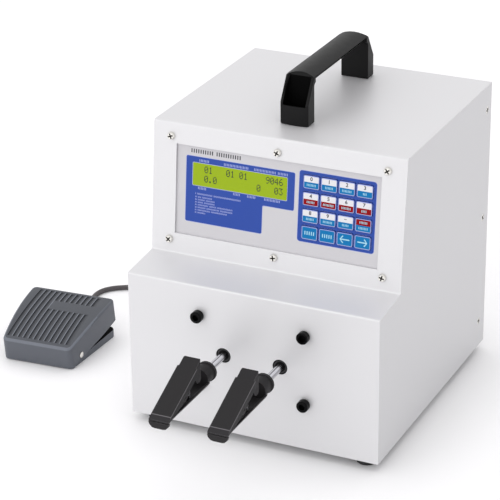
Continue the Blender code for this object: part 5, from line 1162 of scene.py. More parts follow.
class TWISTER_OT_keys(bpy.types.Operator):
    """Face the keys in white, cyan and red, with their digits and arrows"""
    bl_idname = "twister.keys"
    bl_label = "Keys"

    def execute(self, context):
        for index in range(KEYS):
            name = "key_" + str(index + 1)
            paint([name], blue_ink())
            x, s = key_centre(index)
            place = PLATE_FACE @ shift(x, s - KEY_PRINT_LOWER, 0)
            solids = bmesh.new()
            half_height = self.add_face(solids, index, place)
            self.add_print(solids, index, place, half_height)
            make_piece(name + "_face", solids,
                       [key_white(), key_cyan(), key_red(), dark_ink(), arrow_ink(),
                        border_ink()], name)
        return {"FINISHED"}

    def add_face(self, solids, index, place):
        """A key's pale rim and the two halves of its face; it returns one half's height."""
        wide = sizes().key_width / 2 - KEY_MARGIN
        high = sizes().key_height / 2 - KEY_MARGIN
        top = KEY_PROUD + PLATE_PRINT
        add_plate(solids, [rectangle(-wide, wide, -high, high, sizes().key_corner)],
                  KEY_PROUD, top, place, RIM)
        wide, high = wide - sizes().key_border, high - sizes().key_border
        corner = max(sizes().key_corner - sizes().key_border, KEY_LEAST_CORNER)
        row = index // KEYS_ACROSS
        lower = RED if row == RED_ROW else CYAN
        upper = CYAN if row == CYAN_ROW else WHITE
        if index == RED_KEY:
            upper = RED
        for sign, shade in ((-1, lower), (1, upper)):
            half = fillet([(sign * wide, sign * high), (-sign * wide, sign * high),
                           (-sign * wide, 0), (sign * wide, 0)], [corner, corner, 0, 0],
                          KEY_CORNER_STEPS)
            add_plate(solids, [half], top, top + KEY_FACE, place, shade)
        return high

    def add_print(self, solids, index, place, half_height):
        """What is printed on a key: bars for words, and a digit, a dash or an arrow."""
        low = KEY_PROUD + PLATE_PRINT + KEY_FACE
        high = low + PLATE_PRINT
        raised = place @ shift(0, half_height * DIGIT_RISE, 0)
        if index in KEY_BARS:
            bar, middle = SMALL_BAR, -half_height / 2
            if index in WORD_KEYS:
                bar, middle = WORD_BAR, 0
            wide = ((KEY_BARS[index] - 1) * BAR_PITCH + BAR_WIDTH) * bar
            add_bars(solids, -wide / 2, middle, bar, (KEY_BARS[index],), low, place, PALE)
        if index == RED_KEY:
            add_bars(solids, RED_KEY_BARS_LEFT, half_height / 2, SMALL_BAR, (RED_KEY_BARS,),
                     low, place, PALE)
        if index < DIGIT_KEYS:
            add_lettering(solids, str(index), sizes().digit_height, low, high, raised, DARK)
        elif index == DASH_KEY:
            across, up = DASH_HALF
            add_plate(solids, [rectangle(-across, across, -up, up)], low, high, raised, DARK)
        elif index in ARROW_KEYS:
            add_plate(solids, [self.arrow()], low, high, place @ ARROW_KEYS[index], PALE)

    def arrow(self):
        """A plain arrow that points right."""
        reach, thin, head = ARROW_REACH, ARROW_SHAFT, ARROW_HEAD
        neck, barb = reach - ARROW_NECK, reach - head + ARROW_BARB
        return [(-reach, -thin), (neck, -thin), (reach - head, -head + thin), (barb, -head),
                (reach, 0), (barb, head), (reach - head, head - thin), (neck, thin),
                (-reach, thin)]


# Spindles and clips
BEARING_RINGS = (0.0058, 0.0043, 0.0031)
BEARING_FRONT = -0.0003
BEARING_REAR = -0.0053
BEARING_DISH = 0.0004
BEARING_EDGE = 0.0002
LEVER_REAR_HALF = 0.0073
LEVER_REAR_CORNER = 0.0024
LEVER_CORNER_STEPS = 4
LEVER_TOP_ANGLE = math.atan2(0.0265, 0.0596)
LEVER_LIP_LENGTH = 0.0040
LEVER_LIP_TURN = math.radians(10)
LEVER_LIP_TOP = -0.0025
LEVER_CREASE_DEPTH = 0.00003
LEVER_EDGE_DEPTH = 0.00022
LEVER_LONG_EDGE = 0.0200
SAME_WAY = 0.9999
NEARLY_SAME_WAY = 0.999
SIDEWAYS = 0.7


class TWISTER_OT_spindles(bpy.types.Operator):
    """Finish the spindles, their bearings and the gears behind them"""
    bl_idname = "twister.spindles"
    bl_label = "Spindles"

    def execute(self, context):
        paint(["spindle_left", "spindle_right"], ground_steel())
        paint(["gear_left", "gear_right", "pinion"], gear_steel())
        outer, (seal_outer, seal_inner, bore) = BEARING_RADIUS, BEARING_RINGS
        front, rear, dish, edge = BEARING_FRONT, BEARING_REAR, BEARING_DISH, BEARING_EDGE
        for side, label, view in SIDE_VIEWS:
            place = MACHINE @ shift(side * SPINDLE_X, 0, SPINDLE_Z) @ FRONT_VIEW
            solids = bmesh.new()
            add_turned(solids, [
                (outer, rear + edge), (outer, front - edge), (outer - edge, front),
                (seal_outer, front), (seal_outer, rear), (outer - edge, rear),
                (outer, rear + edge)], place, 0)
            add_turned(solids, [
                (seal_outer, front - dish), (seal_inner, front - dish),
                (seal_inner, rear + dish), (seal_outer, rear + dish),
                (seal_outer, front - dish)], place, 1)
            add_turned(solids, [
                (seal_inner, front), (bore + edge, front), (bore, front - edge),
                (bore, rear + edge), (bore + edge, rear), (seal_inner, rear),
                (seal_inner, front)], place, 0)
            make_piece("bearing_" + label + "_look", solids, [black_steel(), seal()],
                       "machine", ["bearing_" + label])
        return {"FINISHED"}


def leaning_normal(angle):
    """The upward normal of a face that rises to the rear by an angle."""
    return Vector((0, -math.sin(angle), math.cos(angle)))


class TWISTER_OT_clips(bpy.types.Operator):
    """Mould the clips' bodies and levers with rounded edges, and their springs"""
    bl_idname = "twister.clips"
    bl_label = "Clips"

    def execute(self, context):
        edge = sizes().clip_edge
        for label in SIDES:
            body, lever, spring = (kind + label for kind in
                                   ("clip_body_", "clip_lever_", "clip_spring_"))
            refine_piece(body, [charcoal_moulding()], "spindle_" + label,
                         edge)
            # The lever's rounded edges and cut strips get a painted highlight, its lip a paler
            # copy of the moulding
            refine_piece(lever, [charcoal_moulding(), worn_moulding(), lip_moulding()], lever,
                         edge, shape=self.shape_lever, edge_material=1)
            coil = refine_piece(spring, [spring_steel()], "spindle_" + label, 0)
            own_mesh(coil)
        return {"FINISHED"}

    def rub_sides(self, work):
        """Cut strips along the long edges of the lever's top, for a painted highlight, and
        return the cuts' directions.
        """
        top = leaning_normal(LEVER_TOP_ANGLE)
        work.normal_update()
        cuts = []
        for side in (-1, 1):
            for edge in work.edges:
                normals = [face.normal for face in edge.link_faces]
                if edge.calc_length() < LEVER_LONG_EDGE or len(normals) != 2:
                    continue
                upper, outer = sorted(normals, key=top.dot, reverse=True)
                if upper.dot(top) > NEARLY_SAME_WAY and outer.x * side > SIDEWAYS:
                    cuts.append((edge.verts[0].co.copy(), (top + outer).normalized()))
        for place, direction in cuts:
            trim(work, place - direction * LEVER_EDGE_DEPTH, direction)
        return [direction for place, direction in cuts]

    def shape_lever(self, work):
        """Round the lever's rear corners, bend its front edge down, and give its edge strips,
        crease and lip painted highlights.
        """
        highlight_ways = self.rub_sides(work)
        xs = [corner.co.x for corner in work.verts]
        ys = [corner.co.y for corner in work.verts]
        middle, front, rear = (min(xs) + max(xs)) / 2, min(ys), max(ys)
        outline = rectangle(middle - LEVER_REAR_HALF, middle + LEVER_REAR_HALF, front, rear,
                            LEVER_REAR_CORNER, LEVER_CORNER_STEPS)
        rear_right = 2 * (LEVER_CORNER_STEPS + 1)
        rear_left = rear_right + LEVER_CORNER_STEPS + 1
        trim_along(work, outline[rear_right:rear_left])
        trim_along(work, outline[rear_left:])
        height = SPINDLE_Z + LEVER_LIP_TOP + LEVER_LIP_LENGTH * math.tan(LEVER_TOP_ANGLE)
        crease = Vector((middle, front + LEVER_LIP_LENGTH, height))
        lip = leaning_normal(LEVER_TOP_ANGLE + LEVER_LIP_TURN)
        painted_highlight = leaning_normal(LEVER_TOP_ANGLE + LEVER_LIP_TURN / 2)
        trim(work, crease, lip)
        trim(work, crease - painted_highlight * LEVER_CREASE_DEPTH, painted_highlight)
        work.normal_update()
        # The lip gets a paler painted highlight; the crease and edge strips a stronger one
        for face in work.faces:
            if face.normal.dot(lip) > SAME_WAY:
                face.material_index = 2
            elif any(face.normal.dot(way) > SAME_WAY for way in (painted_highlight, *highlight_ways)):
                face.material_index = 1


# Handle
HANDLE_SCREW_BACK = 0.0070
HANDLE_SCREW_HEAD = ((0, 0), (0.0040, 0), (0.0040, 0.0040), (0.0036, 0.0044))
HANDLE_SOCKET = 0.0023
HANDLE_SOCKET_DEPTH = 0.0022
HANDLE_POCKET_FLOOR = 0.0060
HANDLE_POCKET_HALF = 0.00965
HANDLE_MOUTH_BEFORE = (0.0114, 0.0350)
HANDLE_MOUTH_TOP = (0.0132, 0.0380)
HANDLE_MOUTH_NEAR = 0.0006
HANDLE_WALL = 0.0026
HANDLE_EDGE_STEPS = 3
FACES_UP = 0.3


class TWISTER_OT_handle(bpy.types.Operator):
    """Mould the bridge handle with soft edges, and the screws in its pockets"""
    bl_idname = "twister.handle"
    bl_label = "Handle"

    def execute(self, context):
        refine_piece("handle", [black_moulding(), pocket_dark()], "machine",
                     sizes().moulded_edge, HANDLE_EDGE_STEPS, shape=self.open_pockets)
        low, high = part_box("handle")
        solids = bmesh.new()
        for y in (low.y + HANDLE_SCREW_BACK, high.y - HANDLE_SCREW_BACK):
            add_driven_head(solids, HANDLE_SCREW_HEAD, circle(HANDLE_SOCKET, HEXAGON),
                            HANDLE_SOCKET_DEPTH,
                            shift((low.x + high.x) / 2, y, low.z + HANDLE_POCKET_FLOOR))
        make_piece("handle_screws", solids, [black_steel(), black_steel()], "machine")
        return {"FINISHED"}

    def open_pockets(self, work):
        """Raise the mouths of the screw pockets to the bar, and give what is in them painted
        shade.
        """
        low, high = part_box("handle")
        middle = (low + high) / 2
        (before, before_height), (top, top_height) = HANDLE_MOUTH_BEFORE, HANDLE_MOUTH_TOP
        for corner in work.verts:
            rear = corner.co.y > middle.y
            along = high.y - corner.co.y if rear else corner.co.y - low.y
            height = corner.co.z - low.z
            if (abs(along - before) < HANDLE_MOUTH_NEAR
                    and abs(height - before_height) < HANDLE_MOUTH_NEAR):
                corner.co.y = high.y - top if rear else low.y + top
                corner.co.z = low.z + top_height
        work.normal_update()
        for face in work.faces:
            place = face.calc_center_median()
            along = min(place.y - low.y, high.y - place.y)
            height = place.z - low.z
            within = (abs(place.x - middle.x) < HANDLE_POCKET_HALF + TINY
                      and HANDLE_WALL - TINY < along < top
                      and height > HANDLE_POCKET_FLOOR - TINY)
            if within and not (face.normal.z > FACES_UP and height > 2 * HANDLE_POCKET_FLOOR):
                face.material_index = 1


# Foot pedal
PEDAL_PLACE = shift(-0.2330, 0.0540, 0) @ turn(4, "Z")
PEDAL_FRONT = -0.0030
PEDAL_TOP_REAR = 0.0746
PEDAL_LEAN = 0.0030
PEDAL_FRONT_HALF = 0.03255
PEDAL_FLARE = 0.0855
PEDAL_SIDE_BOW = 0.0016
PEDAL_RIGHT_FLARE = 0.0240
PEDAL_CORNER = 0.0045
PEDAL_HEIGHTS = (0.0212, 0.0372)
PEDAL_CROWN = 0.0028
PEDAL_LOW = 0.0064
PEDAL_SKIRT = (0.0010, 0.0035, 0.0075)
PEDAL_RISE = 0.1634
PEDAL_BASE_TOP = (0.0030, 0.0072, 0.0050)
PEDAL_BASE_SPAN = (0.0030, 0.0772)
PEDAL_HINGE = (0.0140, 0.0092)
PEDAL_WALL = 0.0022
PEDAL_BASE_OUTLINE = ((-0.0322, 0.0033), (0.0322, 0.0033), (0.0400, 0.0772),
                      (-0.0400, 0.0772))
PEDAL_BASE_CORNERS = (0.0070, 0.0070, 0, 0)
RIBS_SPAN = (0.0022, 0.0706)
PLAIN_PATCH = (0.0432, 0.0560)
PLAIN_FROM = 4
RIB_END = 0.0003
RIBS = 12
RIB_PITCH = 0.0051
RIB_SHAPE = ((0.00045, 0, "wall"), (0.0007, 1, "floor"), (0.0021, 1, "slope"),
             (0.00465, 0, "crest"))
RIB_DEPTH = 0.0009
# Painted light on the pedal's top: plain top darker, crests paler, slopes and valley floors
# darker
PEDAL_PAINTED_LIGHT_SLOTS = {"plain": 2, "crest": 3, "slope": 4, "floor": 5, "wall": 5}
PEDAL_ROWS = 16
PEDAL_PAINTED_LIGHT_SHARES = (("plain", 0.66), ("crest", 1.5), ("slope", 0.54), ("floor", 0.34))
PEDAL_HIGHLIGHT_FRONT = -0.2
PEDAL_HIGHLIGHT_UP = (0.25, 0.93)
RIBS_BESIDE = 0.1
PEDAL_RING = 0.0029
PEDAL_RING_SPAN = (-0.0003, 0.00012)
PEDAL_PIN = ((0, -0.0003), (0.0027, -0.0003), (0.0027, 0.0003), (0.0022, 0.0006),
             (0, 0.0007))
PEDAL_BASE_NEAR = 0.00015
PEDAL_BASE_UP = 0.5


def pedal_half(y, side):
    """Half the cover's width at a distance along it, to its left or right side."""
    along = y - PEDAL_FRONT
    share = along / (PEDAL_TOP_REAR - PEDAL_FRONT)
    flare = PEDAL_FLARE + (PEDAL_RIGHT_FLARE if side > 0 else 0)
    return PEDAL_FRONT_HALF + along * flare + PEDAL_SIDE_BOW * 4 * share * (1 - share)


def pedal_turn(y, side):
    """How fast the cover widens at a distance along it."""
    return (pedal_half(y + TINY, side) - pedal_half(y - TINY, side)) / (2 * TINY)


def pedal_rim(y):
    """The height of the cover's lower rim: a skirt in front of the base, then its sides."""
    low, start, end = PEDAL_SKIRT
    share = min(max((y - start) / (end - start), 0), 1)
    return low + (PEDAL_LOW - low) * share + max(y - PEDAL_HINGE[0], 0) * PEDAL_RISE


def pedal_top(y):
    """The height of the cover's top at a distance along it."""
    share = (y - PEDAL_FRONT) / (PEDAL_TOP_REAR - PEDAL_FRONT)
    front, rear = PEDAL_HEIGHTS
    return front + (rear - front) * share + PEDAL_CROWN * 4 * share * (1 - share)


class TWISTER_OT_pedal(bpy.types.Operator):
    """Mould the pedal's ribbed cover and its base, and set the ends of its hinge pin"""
    bl_idname = "twister.pedal"
    bl_label = "Foot pedal"

    def execute(self, context):
        self.edge = sizes().pedal_edge
        self.low = PEDAL_FRONT + self.edge
        self.high = PEDAL_TOP_REAR - self.edge
        self.corner = PEDAL_CORNER - self.edge
        solids, pins = bmesh.new(), bmesh.new()
        self.add_cover(solids)
        y, z = PEDAL_HINGE
        for side, label, view in SIDE_VIEWS:
            slant = Matrix.Rotation(-side * math.atan(pedal_turn(y, side)), 4, "Z")
            side_place = shift(side * pedal_half(y, side), y, z) @ slant @ view
            place = MACHINE @ PEDAL_PLACE @ side_place
            # A ring of painted shade round each end of the hinge pin
            add_plate(solids, [circle(PEDAL_RING)], *PEDAL_RING_SPAN, place, 1)
            add_turned(pins, PEDAL_PIN, place)
        shades = [pedal_shade(name, share) for name, share in PEDAL_PAINTED_LIGHT_SHARES]
        make_piece("pedal_cover_look", solids, [grey_moulding(), recess_dark(), *shades],
                   "pedal_cover", ["pedal_cover"])
        make_piece("pedal_pin_ends", pins, [nickel()], "machine")
        refine_piece("pedal_base", [grey_moulding(), pocket_dark()], "machine",
                     sizes().moulded_edge / 2, shape=self.shape_base)
        return {"FINISHED"}

    def shape_base(self, work):
        """Round the base's front corners in plan, raise its top in front, and give its top
        painted shade where it shows under the cover.
        """
        place = MACHINE @ PEDAL_PLACE
        back = place.inverted()
        front, rear, raised = PEDAL_BASE_TOP
        start, end = PEDAL_BASE_SPAN
        for corner in work.verts:
            along = ((back @ corner.co).y - start) / (end - start)
            if abs(corner.co.z - front - (rear - front) * along) < PEDAL_BASE_NEAR:
                corner.co.z += (raised - front) * (1 - along)
        work.normal_update()
        for face in work.faces:
            if face.normal.z > PEDAL_BASE_UP:
                face.material_index = 1
        outline = fillet(PEDAL_BASE_OUTLINE, PEDAL_BASE_CORNERS)
        points = [tuple((place @ Vector((*point, 0))).xy) for point in outline]
        trim_along(work, points[-1:] + points[:-1])

    def top_half(self, y, side):
        """Half the width of the top within its rounded border, to one side."""
        into = max(self.low + self.corner - y, y - self.high + self.corner, 0)
        lost = self.corner - math.sqrt(max(self.corner ** 2 - into ** 2, 0))
        return pedal_half(y, side) - self.edge - lost

    def row_places(self):
        """The distances along the cover where its top has a row of corners."""
        rows = [self.low + (self.high - self.low) * step / PEDAL_ROWS
                for step in range(1, PEDAL_ROWS)]
        for step in range(CORNER_STEPS + 1):
            into = self.corner * (1 - math.cos(step * math.pi / 2 / CORNER_STEPS))
            rows += [self.low + into, self.high - into]
        for outer, inner in zip((RIBS_SPAN[0], PLAIN_PATCH[0], PLAIN_PATCH[1], RIBS_SPAN[1]),
                                (1, -1, 1, -1)):
            rows += [outer, outer + inner * RIB_END]
        return sorted({round(row, 4) for row in rows})

    def ribbed(self, y, rib):
        """Whether a rib stands at a distance along the cover."""
        plain = rib >= PLAIN_FROM and PLAIN_PATCH[0] <= y <= PLAIN_PATCH[1]
        return RIBS_SPAN[0] < y < RIBS_SPAN[1] and not plain

    def outward(self, point):
        """The direction away from the cover's middle at a point of its top's border."""
        side = math.copysign(1, point.x)
        middle = min(max(point.y, self.low + self.corner), self.high - self.corner)
        centre = Vector((side * (pedal_half(middle, side) - self.edge - self.corner), middle))
        away = Vector(point.xy) - centre
        if middle == point.y:
            return Vector((side, -pedal_turn(point.y, side))).normalized()
        if away.x * side <= TINY:
            return Vector((0, math.copysign(1, away.y)))
        return away.normalized()

    def add_top(self, work):
        """The ribbed top's rows of corners, and its faces in their painted light and shade."""
        reach = (RIBS / 2 + RIBS_BESIDE) * RIB_PITCH
        grid = []
        for y in self.row_places():
            left, right = self.top_half(y, -1), self.top_half(y, 1)
            squeeze = min(1, (left - RIB_END) / reach)
            height = pedal_top(y)
            row = [work.verts.new((-left, y, height))]
            for rib in range(RIBS):
                depth = RIB_DEPTH if self.ribbed(y, rib) else 0
                for x, share, shade in RIB_SHAPE:
                    at = (rib - RIBS / 2) * RIB_PITCH + x
                    row.append(work.verts.new((at * squeeze, y, height - depth * share)))
            row.append(work.verts.new((right, y, height)))
            grid.append(row)
        for front, rear in zip(grid, grid[1:]):
            along = (front[0].co.y + rear[0].co.y) / 2
            for index in range(len(front) - 1):
                face = work.faces.new((front[index], front[index + 1], rear[index + 1],
                                       rear[index]))
                rib, part = divmod(index - 1, len(RIB_SHAPE))
                shade = "plain"
                if 0 < index < len(front) - 2 and self.ribbed(along, rib):
                    shade = RIB_SHAPE[part][2]
                face.material_index = PEDAL_PAINTED_LIGHT_SLOTS[shade]
        return grid

    def add_cover(self, solids):
        """The cover: its ribbed top, its rounded border, its walls and its hollow."""
        work = bmesh.new()
        grid = self.add_top(work)
        border = grid[0] + [row[-1] for row in grid[1:-1]]
        border += grid[-1][::-1] + [row[0] for row in grid[-2:0:-1]]
        ways = [self.outward(corner.co) for corner in border]
        edge, wall = self.edge, PEDAL_WALL
        stages = [(edge * math.sin(angle), edge * (1 - math.cos(angle)), False)
                  for angle in (step * math.pi / 2 / CORNER_STEPS
                                for step in range(1, CORNER_STEPS + 1))]
        stages += [(edge, 0, True), (edge - wall, 0, True), (edge - wall, 2 * wall, False)]
        before, rounded = border, []
        for reach_out, drop, at_rim in stages:
            ring = []
            for corner, way in zip(border, ways):
                x, y = corner.co.xy + way * reach_out
                if at_rim:
                    side = math.copysign(1, x)
                    x += side * (pedal_half(y + PEDAL_LEAN, side) - pedal_half(y, side))
                    y += PEDAL_LEAN
                    height = pedal_rim(y)
                else:
                    height = pedal_top(y) - drop
                ring.append(work.verts.new((x, y, height)))
            for index in range(len(ring)):
                rounded.append(work.faces.new((before[index - 1], before[index], ring[index],
                                               ring[index - 1])))
            before = ring
        work.faces.new(before)
        bmesh.ops.recalc_face_normals(work, faces=work.faces)
        # Painted highlight along the front of the rounded border
        low, high = PEDAL_HIGHLIGHT_UP
        for face in rounded:
            if face.normal.y < PEDAL_HIGHLIGHT_FRONT and low < face.normal.z < high:
                face.material_index = PEDAL_PAINTED_LIGHT_SLOTS["crest"]
        add_solid(solids, work, MACHINE @ PEDAL_PLACE, None)


# Cord
CORD_DIAMETER = 0.0045
CORD_LIFT = 0.0001
CORD_ROUND_STEPS = 4
COIL_CENTRE = (-0.1050, 0.2920)
COIL_INNER_RADIUS = 0.0200
COIL_PITCH = 0.0052
COIL_LAYER_RISE = 0.0052
COIL_TURNS = 6.125
COIL_CLIMB_TURNS = 0.5
COIL_START_ANGLE = math.radians(135)
COIL_POINTS_PER_TURN = 48
RUN_POINTS = 78
TAIL_POINTS = 60
ROUTE_STEPS = 16
PEDAL_BOOT_TIP = (0, 0.0895, 0.0042)
GLAND_TIP = (-0.0400, 0.2639, 0.0380)
CORD_RUN_ROUTE = (
    (-0.2402, 0.1540, 0.0038), (-0.2442, 0.1660, 0.0025), (-0.2490, 0.1770, 0.0024),
    (-0.2526, 0.1880, 0.0024), (-0.2536, 0.1970, 0.0024), (-0.2516, 0.2060, 0.0024),
    (-0.2455, 0.2140, 0.0024), (-0.2360, 0.2205, 0.0024), (-0.2215, 0.2275, 0.0024),
    (-0.2050, 0.2375, 0.0024), (-0.1890, 0.2505, 0.0024), (-0.1740, 0.2650, 0.0024),
    (-0.1600, 0.2788, 0.0024),
)
CORD_TAIL_ROUTE = (
    (-0.0900, 0.3295, 0.0068), (-0.0810, 0.3343, 0.0048), (-0.0720, 0.3390, 0.0031),
    (-0.0620, 0.3406, 0.0024), (-0.0510, 0.3377, 0.0024), (-0.0429, 0.3296, 0.0024),
    (-0.0402, 0.3190, 0.0025), (-0.0400, 0.3085, 0.0048), (-0.0400, 0.3004, 0.0111),
    (-0.0400, 0.2956, 0.0202), (-0.0400, 0.2908, 0.0293), (-0.0400, 0.2827, 0.0356),
)


def smooth_route(points, count):
    """Evenly spaced points of a smooth curve through the route's points."""
    dense = []
    padded = [points[0], *points, points[-1]]
    for index in range(1, len(padded) - 2):
        p0, p1, p2, p3 = (Vector(padded[index + offset]) for offset in (-1, 0, 1, 2))
        for step in range(ROUTE_STEPS):
            t = step / ROUTE_STEPS
            dense.append(0.5 * (2 * p1 + (p2 - p0) * t + (2 * p0 - 5 * p1 + 4 * p2 - p3) * t * t
                                + (3 * p1 - p0 - 3 * p2 + p3) * t ** 3))
    dense.append(Vector(points[-1]))
    walked = [0]
    for before, after in zip(dense, dense[1:]):
        walked.append(walked[-1] + (after - before).length)
    spaced = []
    cursor = 0
    for step in range(count):
        wanted = walked[-1] * step / (count - 1)
        while cursor < len(walked) - 2 and walked[cursor + 1] < wanted:
            cursor += 1
        span = walked[cursor + 1] - walked[cursor]
        spaced.append(dense[cursor].lerp(dense[cursor + 1], (wanted - walked[cursor]) / span))
    return spaced


def coil_points():
    """A round coil in two layers: it spirals in on the table, climbs, and spirals out on top."""
    count = round(COIL_TURNS * COIL_POINTS_PER_TURN)
    low = CORD_DIAMETER / 2 + CORD_LIFT
    middle = COIL_TURNS / 2
    points = []
    for step in range(count + 1):
        turned = COIL_TURNS * step / count
        angle = COIL_START_ANGLE - math.tau * turned
        radius = COIL_INNER_RADIUS + COIL_PITCH * abs(turned - middle)
        climb = min(max((turned - middle) / COIL_CLIMB_TURNS + 0.5, 0), 1)
        height = low + COIL_LAYER_RISE * climb * climb * (3 - 2 * climb)
        points.append(Vector((COIL_CENTRE[0] + radius * math.cos(angle),
                              COIL_CENTRE[1] + radius * math.sin(angle), height)))
    return points


def lead(points, near, end):
    """The point one diameter on from a coil's end, level with the table."""
    ahead = points[end] - points[near]
    return points[end] + Vector((ahead.x, ahead.y, 0)).normalized() * CORD_DIAMETER


class TWISTER_OT_cord(bpy.types.Operator):
    """Lay the pedal's cord: its run, its coil behind the machine and its tail"""
    bl_idname = "twister.cord"
    bl_label = "Cord"

    def execute(self, context):
        coil = coil_points()
        before, after = lead(coil, 2, 0), lead(coil, -3, -1)
        back = PEDAL_PLACE.to_3x3() @ Vector((0, 1, 0))
        boot_tip = PEDAL_PLACE @ Vector(PEDAL_BOOT_TIP)
        gland_tip = Vector(GLAND_TIP)
        outward = Vector((0, CORD_DIAMETER, 0))
        run = smooth_route([boot_tip, boot_tip + back * CORD_DIAMETER,
                            *map(Vector, CORD_RUN_ROUTE), before, coil[0]], RUN_POINTS)
        tail = smooth_route([coil[-1], after, *map(Vector, CORD_TAIL_ROUTE),
                             gland_tip + 2 * outward, gland_tip + outward, gland_tip],
                            TAIL_POINTS)
        route = [MACHINE @ point for point in (*run[:-1], *coil, *tail[1:])]
        line = bpy.data.curves.new("pedal_cord", "CURVE")
        line.dimensions = "3D"
        line.bevel_depth = CORD_DIAMETER / 2
        line.bevel_resolution = CORD_ROUND_STEPS
        line.use_fill_caps = True
        spline = line.splines.new("POLY")
        spline.points.add(len(route) - 1)
        for target, point in zip(spline.points, route):
            target.co = (*point, 1)
        line.materials.append(cord_jacket())
        made = bpy.data.objects.new("pedal_cord", line)
        context.scene.collection.objects.link(made)
        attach(made, "machine")
        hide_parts("cord_run", "cord_coil", "cord_tail")
        return {"FINISHED"}


# Rear and inside
FOOT_EDGE = 0.0006
FOOT_CORNER_ANGLE = math.radians(50)


class TWISTER_OT_rear(bpy.types.Operator):
    """Finish the rear panel, its inlet, switch and gland, the feet and what is inside"""
    bl_idname = "twister.rear"
    bl_label = "Rear and inside"

    def execute(self, context):
        paint(["rear_chassis"], white_coat())
        paint(["power_inlet", "power_switch", "pedal_socket"], black_moulding())
        paint(["control_board"], board())
        paint(["power_supply"], supply_case())
        paint(["drive_frame"], cast_metal())
        paint(["motor"], black_steel())
        for name in FEET:
            refine_piece("foot_" + name, [rubber()], "machine", FOOT_EDGE,
                         angle=FOOT_CORNER_ANGLE)
        return {"FINISHED"}


# Stage
LENS = 158.455
SENSOR = 36
CLIP = (0.05, 60)
CAMERA_AZIMUTH = math.radians(25.691)
CAMERA_ELEVATION = math.radians(24.262)
CAMERA_ROLL = math.radians(-0.760)
CAMERA_PLACE = Vector((0.6792, -1.4118, 0.8809))
LAMP_SIZE = 2.0
LAMP_PLACE = Vector((-0.9, -2.0, 0.85))
LAMP_TARGET = Vector((0, 0.08, 0.12))
FLOOR_SIZE = 16
FLOOR_PALE = (0.78, 0.78, 0.785)
FLOOR_GLOW = 0.10
FLOOR_SEEN_GLOW = 0.32
FLOOR_CONTACT = 0.070
SURROUND_COLOUR = (1, 0.985, 1, 1)
SURROUND_BASE = 0.36
SURROUND_SIDES = (("X", 1, -0.44), ("Y", -1, 0.34), ("Z", 1, 0.85))


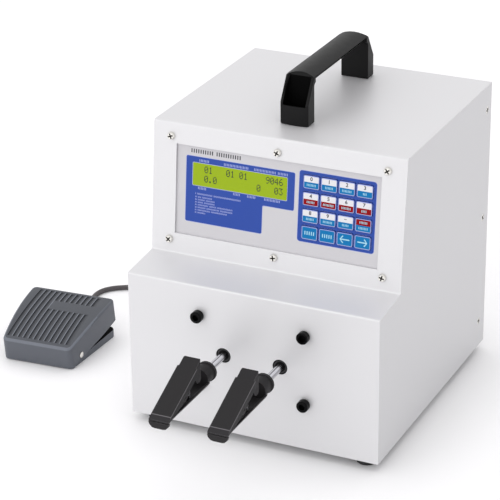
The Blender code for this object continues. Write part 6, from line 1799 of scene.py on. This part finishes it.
class TWISTER_OT_stage(bpy.types.Operator):
    """Set the floor, the lamp, the surround and the camera"""
    bl_idname = "twister.stage"
    bl_label = "Stage"

    def execute(self, context):
        scene = context.scene
        self.set_camera(scene)
        self.set_floor(scene)
        self.set_surround(scene)
        self.add_lamp(scene)
        scene.view_settings.view_transform = "Standard"
        return {"FINISHED"}

    def set_camera(self, scene):
        """The photograph's camera, found from the body's corners."""
        azimuth, elevation = CAMERA_AZIMUTH, CAMERA_ELEVATION
        forward = Vector((-math.sin(azimuth) * math.cos(elevation),
                          math.cos(azimuth) * math.cos(elevation), -math.sin(elevation)))
        right = forward.cross(Vector((0, 0, 1))).normalized()
        up = right.cross(forward)
        across = math.cos(CAMERA_ROLL) * right + math.sin(CAMERA_ROLL) * up
        upright = math.cos(CAMERA_ROLL) * up - math.sin(CAMERA_ROLL) * right
        data = bpy.data.cameras.new("camera")
        data.lens = LENS
        data.sensor_width = SENSOR
        data.clip_start, data.clip_end = CLIP
        holder = bpy.data.objects.new("camera", data)
        holder.matrix_world = (MACHINE @ Matrix.Translation(CAMERA_PLACE)
                               @ Matrix((across, upright, -forward)).transposed().to_4x4())
        scene.collection.objects.link(holder)
        scene.camera = holder

    def set_floor(self, scene):
        """A pale floor that shades off where the object stands."""
        work = bmesh.new()
        bmesh.ops.create_grid(work, x_segments=1, y_segments=1, size=FLOOR_SIZE / 2)
        mesh = bpy.data.meshes.new("floor")
        work.to_mesh(mesh)
        work.free()
        material = finish("floor", FLOOR_PALE, 0.6, grain=30, mottle=0.004, bump=0.0,
                          glow=FLOOR_GLOW)
        tree = material.node_tree
        shader = tree.nodes["Principled BSDF"]
        contact = add_node(tree, "ShaderNodeAmbientOcclusion", {
            "Color": shader.inputs["Base Color"].links[0].from_socket,
            "Distance": FLOOR_CONTACT})
        feed(tree, shader, {
            "Emission Color": contact.outputs["Color"],
            "Emission Strength": calculate(tree, "MULTIPLY_ADD", seen_ray(tree),
                                           FLOOR_SEEN_GLOW, FLOOR_GLOW)})
        mesh.materials.append(material)
        floor = bpy.data.objects.new("floor", mesh)
        scene.collection.objects.link(floor)
        floor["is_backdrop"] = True

    def set_surround(self, scene):
        """A room whose light differs by side, and which looks white wherever it is seen."""
        world = bpy.data.worlds.new("surround")
        scene.world = world
        world.use_nodes = True
        tree = world.node_tree
        direction = add_node(tree, "ShaderNodeTexCoord")
        axes = add_node(tree, "ShaderNodeSeparateXYZ", {0: direction.outputs["Generated"]})
        level = SURROUND_BASE
        for axis, sign, weight in SURROUND_SIDES:
            toward = calculate(tree, "MULTIPLY", axes.outputs[axis], sign)
            part = calculate(tree, "MAXIMUM", toward, 0.0)
            level = calculate(tree, "MULTIPLY_ADD", part, weight, level)
        level = calculate(tree, "MAXIMUM", level, 0.0)
        light = tree.nodes["Background"]
        feed(tree, light, {
            "Color": SURROUND_COLOUR,
            "Strength": calculate(tree, "MULTIPLY", level, scene.twister_stage.surround)})
        seen = add_node(tree, "ShaderNodeBackground", {"Color": (1, 1, 1, 1), "Strength": 1})
        mixed = add_node(tree, "ShaderNodeMixShader", {
            0: seen_ray(tree), 1: light.outputs[0], 2: seen.outputs[0]})
        feed(tree, tree.nodes["World Output"], {"Surface": mixed.outputs[0]})

    def add_lamp(self, scene):
        """The main lamp, a large soft one at the front left."""
        data = bpy.data.lights.new("key_lamp", "AREA")
        data.energy = scene.twister_stage.key_light
        data.size = LAMP_SIZE
        holder = bpy.data.objects.new("key_lamp", data)
        holder.location = MACHINE @ LAMP_PLACE
        facing = (MACHINE @ LAMP_TARGET - holder.location).to_track_quat("-Z", "Y")
        holder.rotation_euler = facing.to_euler()
        scene.collection.objects.link(holder)


class TWISTER_PT_panel(bpy.types.Panel):
    """The pieces of the machine and the sizes and colours behind them"""
    bl_label = "Twisting Machine"
    bl_idname = "TWISTER_PT_panel"
    bl_space_type = "VIEW_3D"
    bl_region_type = "UI"
    bl_category = "Twister"

    def draw(self, context):
        for step in STEPS:
            self.layout.operator(step.bl_idname, text=step.bl_label)
        for group in (context.scene.twister_sizes, context.scene.twister_colours,
                      context.scene.twister_stage):
            box = self.layout.box()
            for name in group.__annotations__:
                box.prop(group, name)


STEPS = (
    TWISTER_OT_stage, TWISTER_OT_cord, TWISTER_OT_housing, TWISTER_OT_screws,
    TWISTER_OT_prints, TWISTER_OT_display, TWISTER_OT_keys, TWISTER_OT_spindles,
    TWISTER_OT_clips, TWISTER_OT_handle, TWISTER_OT_pedal, TWISTER_OT_rear,
)
CLASSES = (TwisterSizes, TwisterColours, TwisterStage, *STEPS, TWISTER_PT_panel)


def register():
    """Register the classes and their settings."""
    for item in CLASSES:
        bpy.utils.register_class(item)
    bpy.types.Scene.twister_sizes = PointerProperty(type=TwisterSizes)
    bpy.types.Scene.twister_colours = PointerProperty(type=TwisterColours)
    bpy.types.Scene.twister_stage = PointerProperty(type=TwisterStage)


def unregister():
    """Remove the classes and their settings."""
    for name in ("twister_sizes", "twister_colours", "twister_stage"):
        delattr(bpy.types.Scene, name)
    for item in reversed(CLASSES):
        bpy.utils.unregister_class(item)


def corners():
    """The shown object's lowest and highest corners, as plain lists."""
    low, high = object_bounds()
    return [list(low), list(high)]


def main():
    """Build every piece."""
    register()
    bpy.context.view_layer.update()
    for step in STEPS:
        family, name = step.bl_idname.split(".")
        getattr(getattr(bpy.ops, family), name)()


if __name__ == "__main__":
    main()
